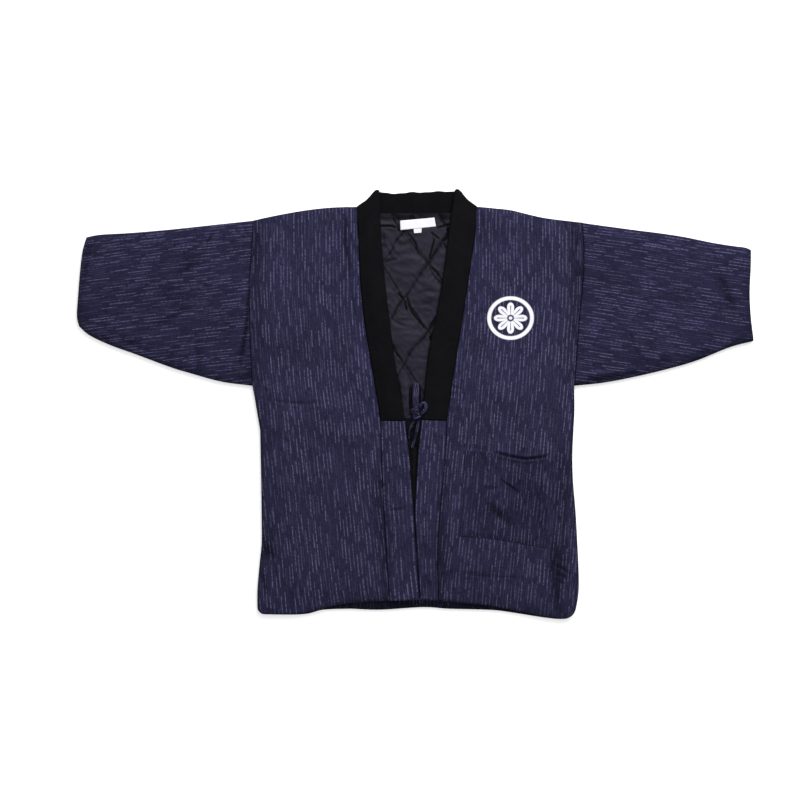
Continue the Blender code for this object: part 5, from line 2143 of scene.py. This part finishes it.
@dataclass
class Bow:
    """The two ties in their bow: loops, tails, the right tie's root and the knot."""

    cotton: Material
    centre: tuple[float, float, float] = (2.6, -17.0, LINING_TOP + 5.4)
    wraps: tuple[tuple[float, ...], ...] = (
        (30.0, 8.2, 5.2, 7.4, 2.8, 6.4), (-28.0, 7.8, 4.8, 7.0, 2.6, 0.0),
        (16.0, 7.6, 4.4, 6.2, 2.4, -8.6), (62.0, 11.4, 4.0, 5.0, 2.2, -0.5),
    )

    def wrap(self, number: int) -> Object:
        """One turn of tie around the knot.

        Args:
            number: which of the turns.

        Returns:
            The turn.
        """
        degrees, reach, rise, width, thick, move = self.wraps[number]
        turn = math.radians(degrees)
        out = np.array((math.cos(turn), math.sin(turn), 0.0))
        side = np.array((-math.sin(turn), math.cos(turn), 0.0))
        up = np.array((0.0, 0.0, 1.0))
        angle = np.linspace(0, math.tau, 49)[:-1]
        radial = out * np.cos(angle)[:, None] * reach + up * np.sin(angle)[:, None] * rise
        spine = np.array(self.centre) + side * move + radial
        spine = spine + side * (np.sin(angle + number)[:, None] * 0.9)
        normal = out * np.cos(angle)[:, None] * rise + up * np.sin(angle)[:, None] * reach
        normal /= np.linalg.norm(normal, axis=1, keepdims=True)
        around = np.linspace(-np.pi / 2, 1.5 * np.pi, 19)[:-1]
        strip = np.dstack(np.meshgrid(around * 2.4, angle * 7.0))
        uneven = 1 + 0.10 * rumple(strip, 100 + number, 6.0, waves=12)[..., None]
        points = spine[:, None] + uneven * (
            side * (np.cos(around) * width / 2)[None, :, None]
            + normal[:, None] * (np.sin(around) * thick / 2)[None, :, None]
        )
        # Painted shade on each turn, darkest at its edges
        painted_shade = 0.46 + 0.46 * np.broadcast_to(np.abs(np.cos(around)) ** 2, strip.shape[:2])
        cloth = np.dstack((strip + number * 31.0, painted_shade))
        return wrapped(f"knot_turn_{number}", points, cloth, closed=True)

    def make_knot(self) -> None:
        """The knot: turns of tie around a packed middle."""
        deselect()
        bpy.ops.mesh.primitive_uv_sphere_add(segments=28, ring_count=16, radius=1.0)
        core = bpy.context.active_object
        core.name = core.data.name = "bow_knot"
        spots = places(core)
        uneven = 1 + 0.05 * rumple(spots[:, :2], 99, 0.9, waves=12)[:, None]
        set_places(core, (spots * uneven * (7.4, 14.6, 4.3) + np.array(self.centre)) * MM)
        # The packed middle gets painted shade all over
        set_cloth(core, spots * 9.0 * (1, 1, 0) + (0, 0, 0.7))
        core.data.shade_smooth()
        parts = [self.wrap(number) for number in range(len(self.wraps))]
        activate(*parts, core)
        bpy.ops.object.join()
        dress(core, self.cotton, ["tie_knot"])

    def build(self) -> None:
        """Makes the whole bow."""
        self.make_knot()
        Strand("bow_loop_up", "tie_loop_up", LOOP_UP, 5, End.OBJECT).build(self.cotton)
        Strand("bow_loop_side", "tie_loop_side", LOOP_SIDE, 8, End.OBJECT).build(self.cotton)
        for name, node, bends, seed in (
            ("bow_tail_right", "tie_tail_right", TAIL_RIGHT, 3),
            ("bow_tail_left", "tie_tail_left", TAIL_LEFT, 9),
        ):
            Strand(name, node, bends, seed, End.BARE, 5.8, 3.8, 0.7, 0.55).build(self.cotton)
        Strand("bow_root_right", "tie_root_right", TIE_RIGHT, 6).build(self.cotton)


@dataclass
class Studio:
    """A pale floor, a soft window, daylight from above and the camera straight above."""

    floor_colour: str = "#fbfbfb"
    floor_glow: float = 0.42
    room: float = 0.35
    window: tuple[float, float, float] = (0.68, 1.92, 1.62)
    window_size: float = 1.6
    window_power: float = 66.0
    roof_power: float = 0.6

    def make_floor(self) -> None:
        """The floor, a large plane just under the garment."""
        deselect()
        bpy.ops.mesh.primitive_plane_add(size=14.0, location=(0, 0, 0))
        floor = bpy.context.active_object
        floor.name = "studio_floor"
        set_places(floor, places(floor) + np.array((0.0, 0.0, -0.0006)))
        # A light table: it glows a little, so that the shadow round the garment stays faint
        floor.data.materials.append(set_shader(new_material("studio_white"), {
            "Base Color": linear(self.floor_colour), "Roughness": 0.9,
            "Emission Color": (1.0, 1.0, 1.0, 1.0), "Emission Strength": self.floor_glow,
        }))

    def make_lights(self) -> None:
        """Daylight from the room, from above and from a window to the upper right."""
        scene = bpy.context.scene
        world = bpy.data.worlds.new("soft_room")
        world.use_nodes = True
        background = world.node_tree.nodes["Background"]
        background.inputs["Color"].default_value = (1.0, 1.0, 1.0, 1.0)
        background.inputs["Strength"].default_value = self.room
        scene.world = world
        scene.view_settings.view_transform = "Standard"
        window = bpy.data.lights.new("window", "AREA")
        window.size = self.window_size
        window.energy = self.window_power
        roof = bpy.data.lights.new("roof_light", "SUN")
        roof.angle = math.radians(60.0)
        roof.energy = self.roof_power
        for light, place in ((window, self.window), (roof, (0.2, 0.5, 3.0))):
            lamp = bpy.data.objects.new(light.name, light)
            lamp.location = place
            lamp.rotation_euler = (-Vector(place)).to_track_quat("-Z", "Y").to_euler()
            scene.collection.objects.link(lamp)

    def make_camera(self) -> None:
        """The camera, looking straight down."""
        camera = bpy.data.cameras.new("photo_camera")
        camera.sensor_width = SENSOR
        camera.lens = SENSOR * (CAMERA_HEIGHT - GARMENT_LEVEL) / VIEW_WIDTH
        camera.clip_end = 50.0
        eye = bpy.data.objects.new("photo_camera", camera)
        eye.location = (VIEW_X, VIEW_Y, CAMERA_HEIGHT)
        bpy.context.scene.collection.objects.link(eye)
        bpy.context.scene.camera = eye

    def build(self) -> None:
        """Makes the whole studio."""
        self.make_floor()
        self.make_lights()
        self.make_camera()


def main() -> None:
    """Makes the studio and every piece."""
    logging.basicConfig(level=logging.INFO, format="%(name)s: %(message)s")
    Studio().build()
    cotton = DashedCotton().build()
    sleeve_cotton = DashedCotton(
        "dashed_sleeve_cotton", "#212037", "#585375", pitch=5.8, dash=62.0, scatter=0.4,
        faint=0.44, clump=0.75, bare=0.31,
    ).build()
    black = BlackCotton().build()
    # The tie keeps the dashed pattern, finer, with threads lighter than the body's as painted
    # highlights
    Bow(DashedCotton("dashed_tie_cotton", thread="#75719a", pitch=3.6, dash=30.0).build()).build()
    Body(cotton, DashedCotton("dashed_cotton_with_print", with_print=True).build()).build()
    for sleeve in (
        Sleeve("cloth_sleeve_right", "sleeve_right", 31, 6.7, SLEEVE_RIGHT_FOLDS,
               SLEEVE_RIGHT_WRINKLES, SLEEVE_RIGHT_UNDER, SLEEVE_RIGHT_TOP, ARMHOLE_RIGHT,
               SLEEVE_RIGHT_CUFF, 0.4, 0.3),
        Sleeve("cloth_sleeve_left", "sleeve_left", 47, -8.6, SLEEVE_LEFT_FOLDS,
               SLEEVE_LEFT_WRINKLES, SLEEVE_LEFT_UNDER, SLEEVE_LEFT_TOP, ARMHOLE_LEFT,
               SLEEVE_LEFT_CUFF, 0.85, 0.1),
    ):
        sleeve.build(sleeve_cotton)
    Collar(black, cotton).build()
    Lining(QuiltedTaffeta().build(), WovenLabel().build()).build()


if __name__ == "__main__":
    main()
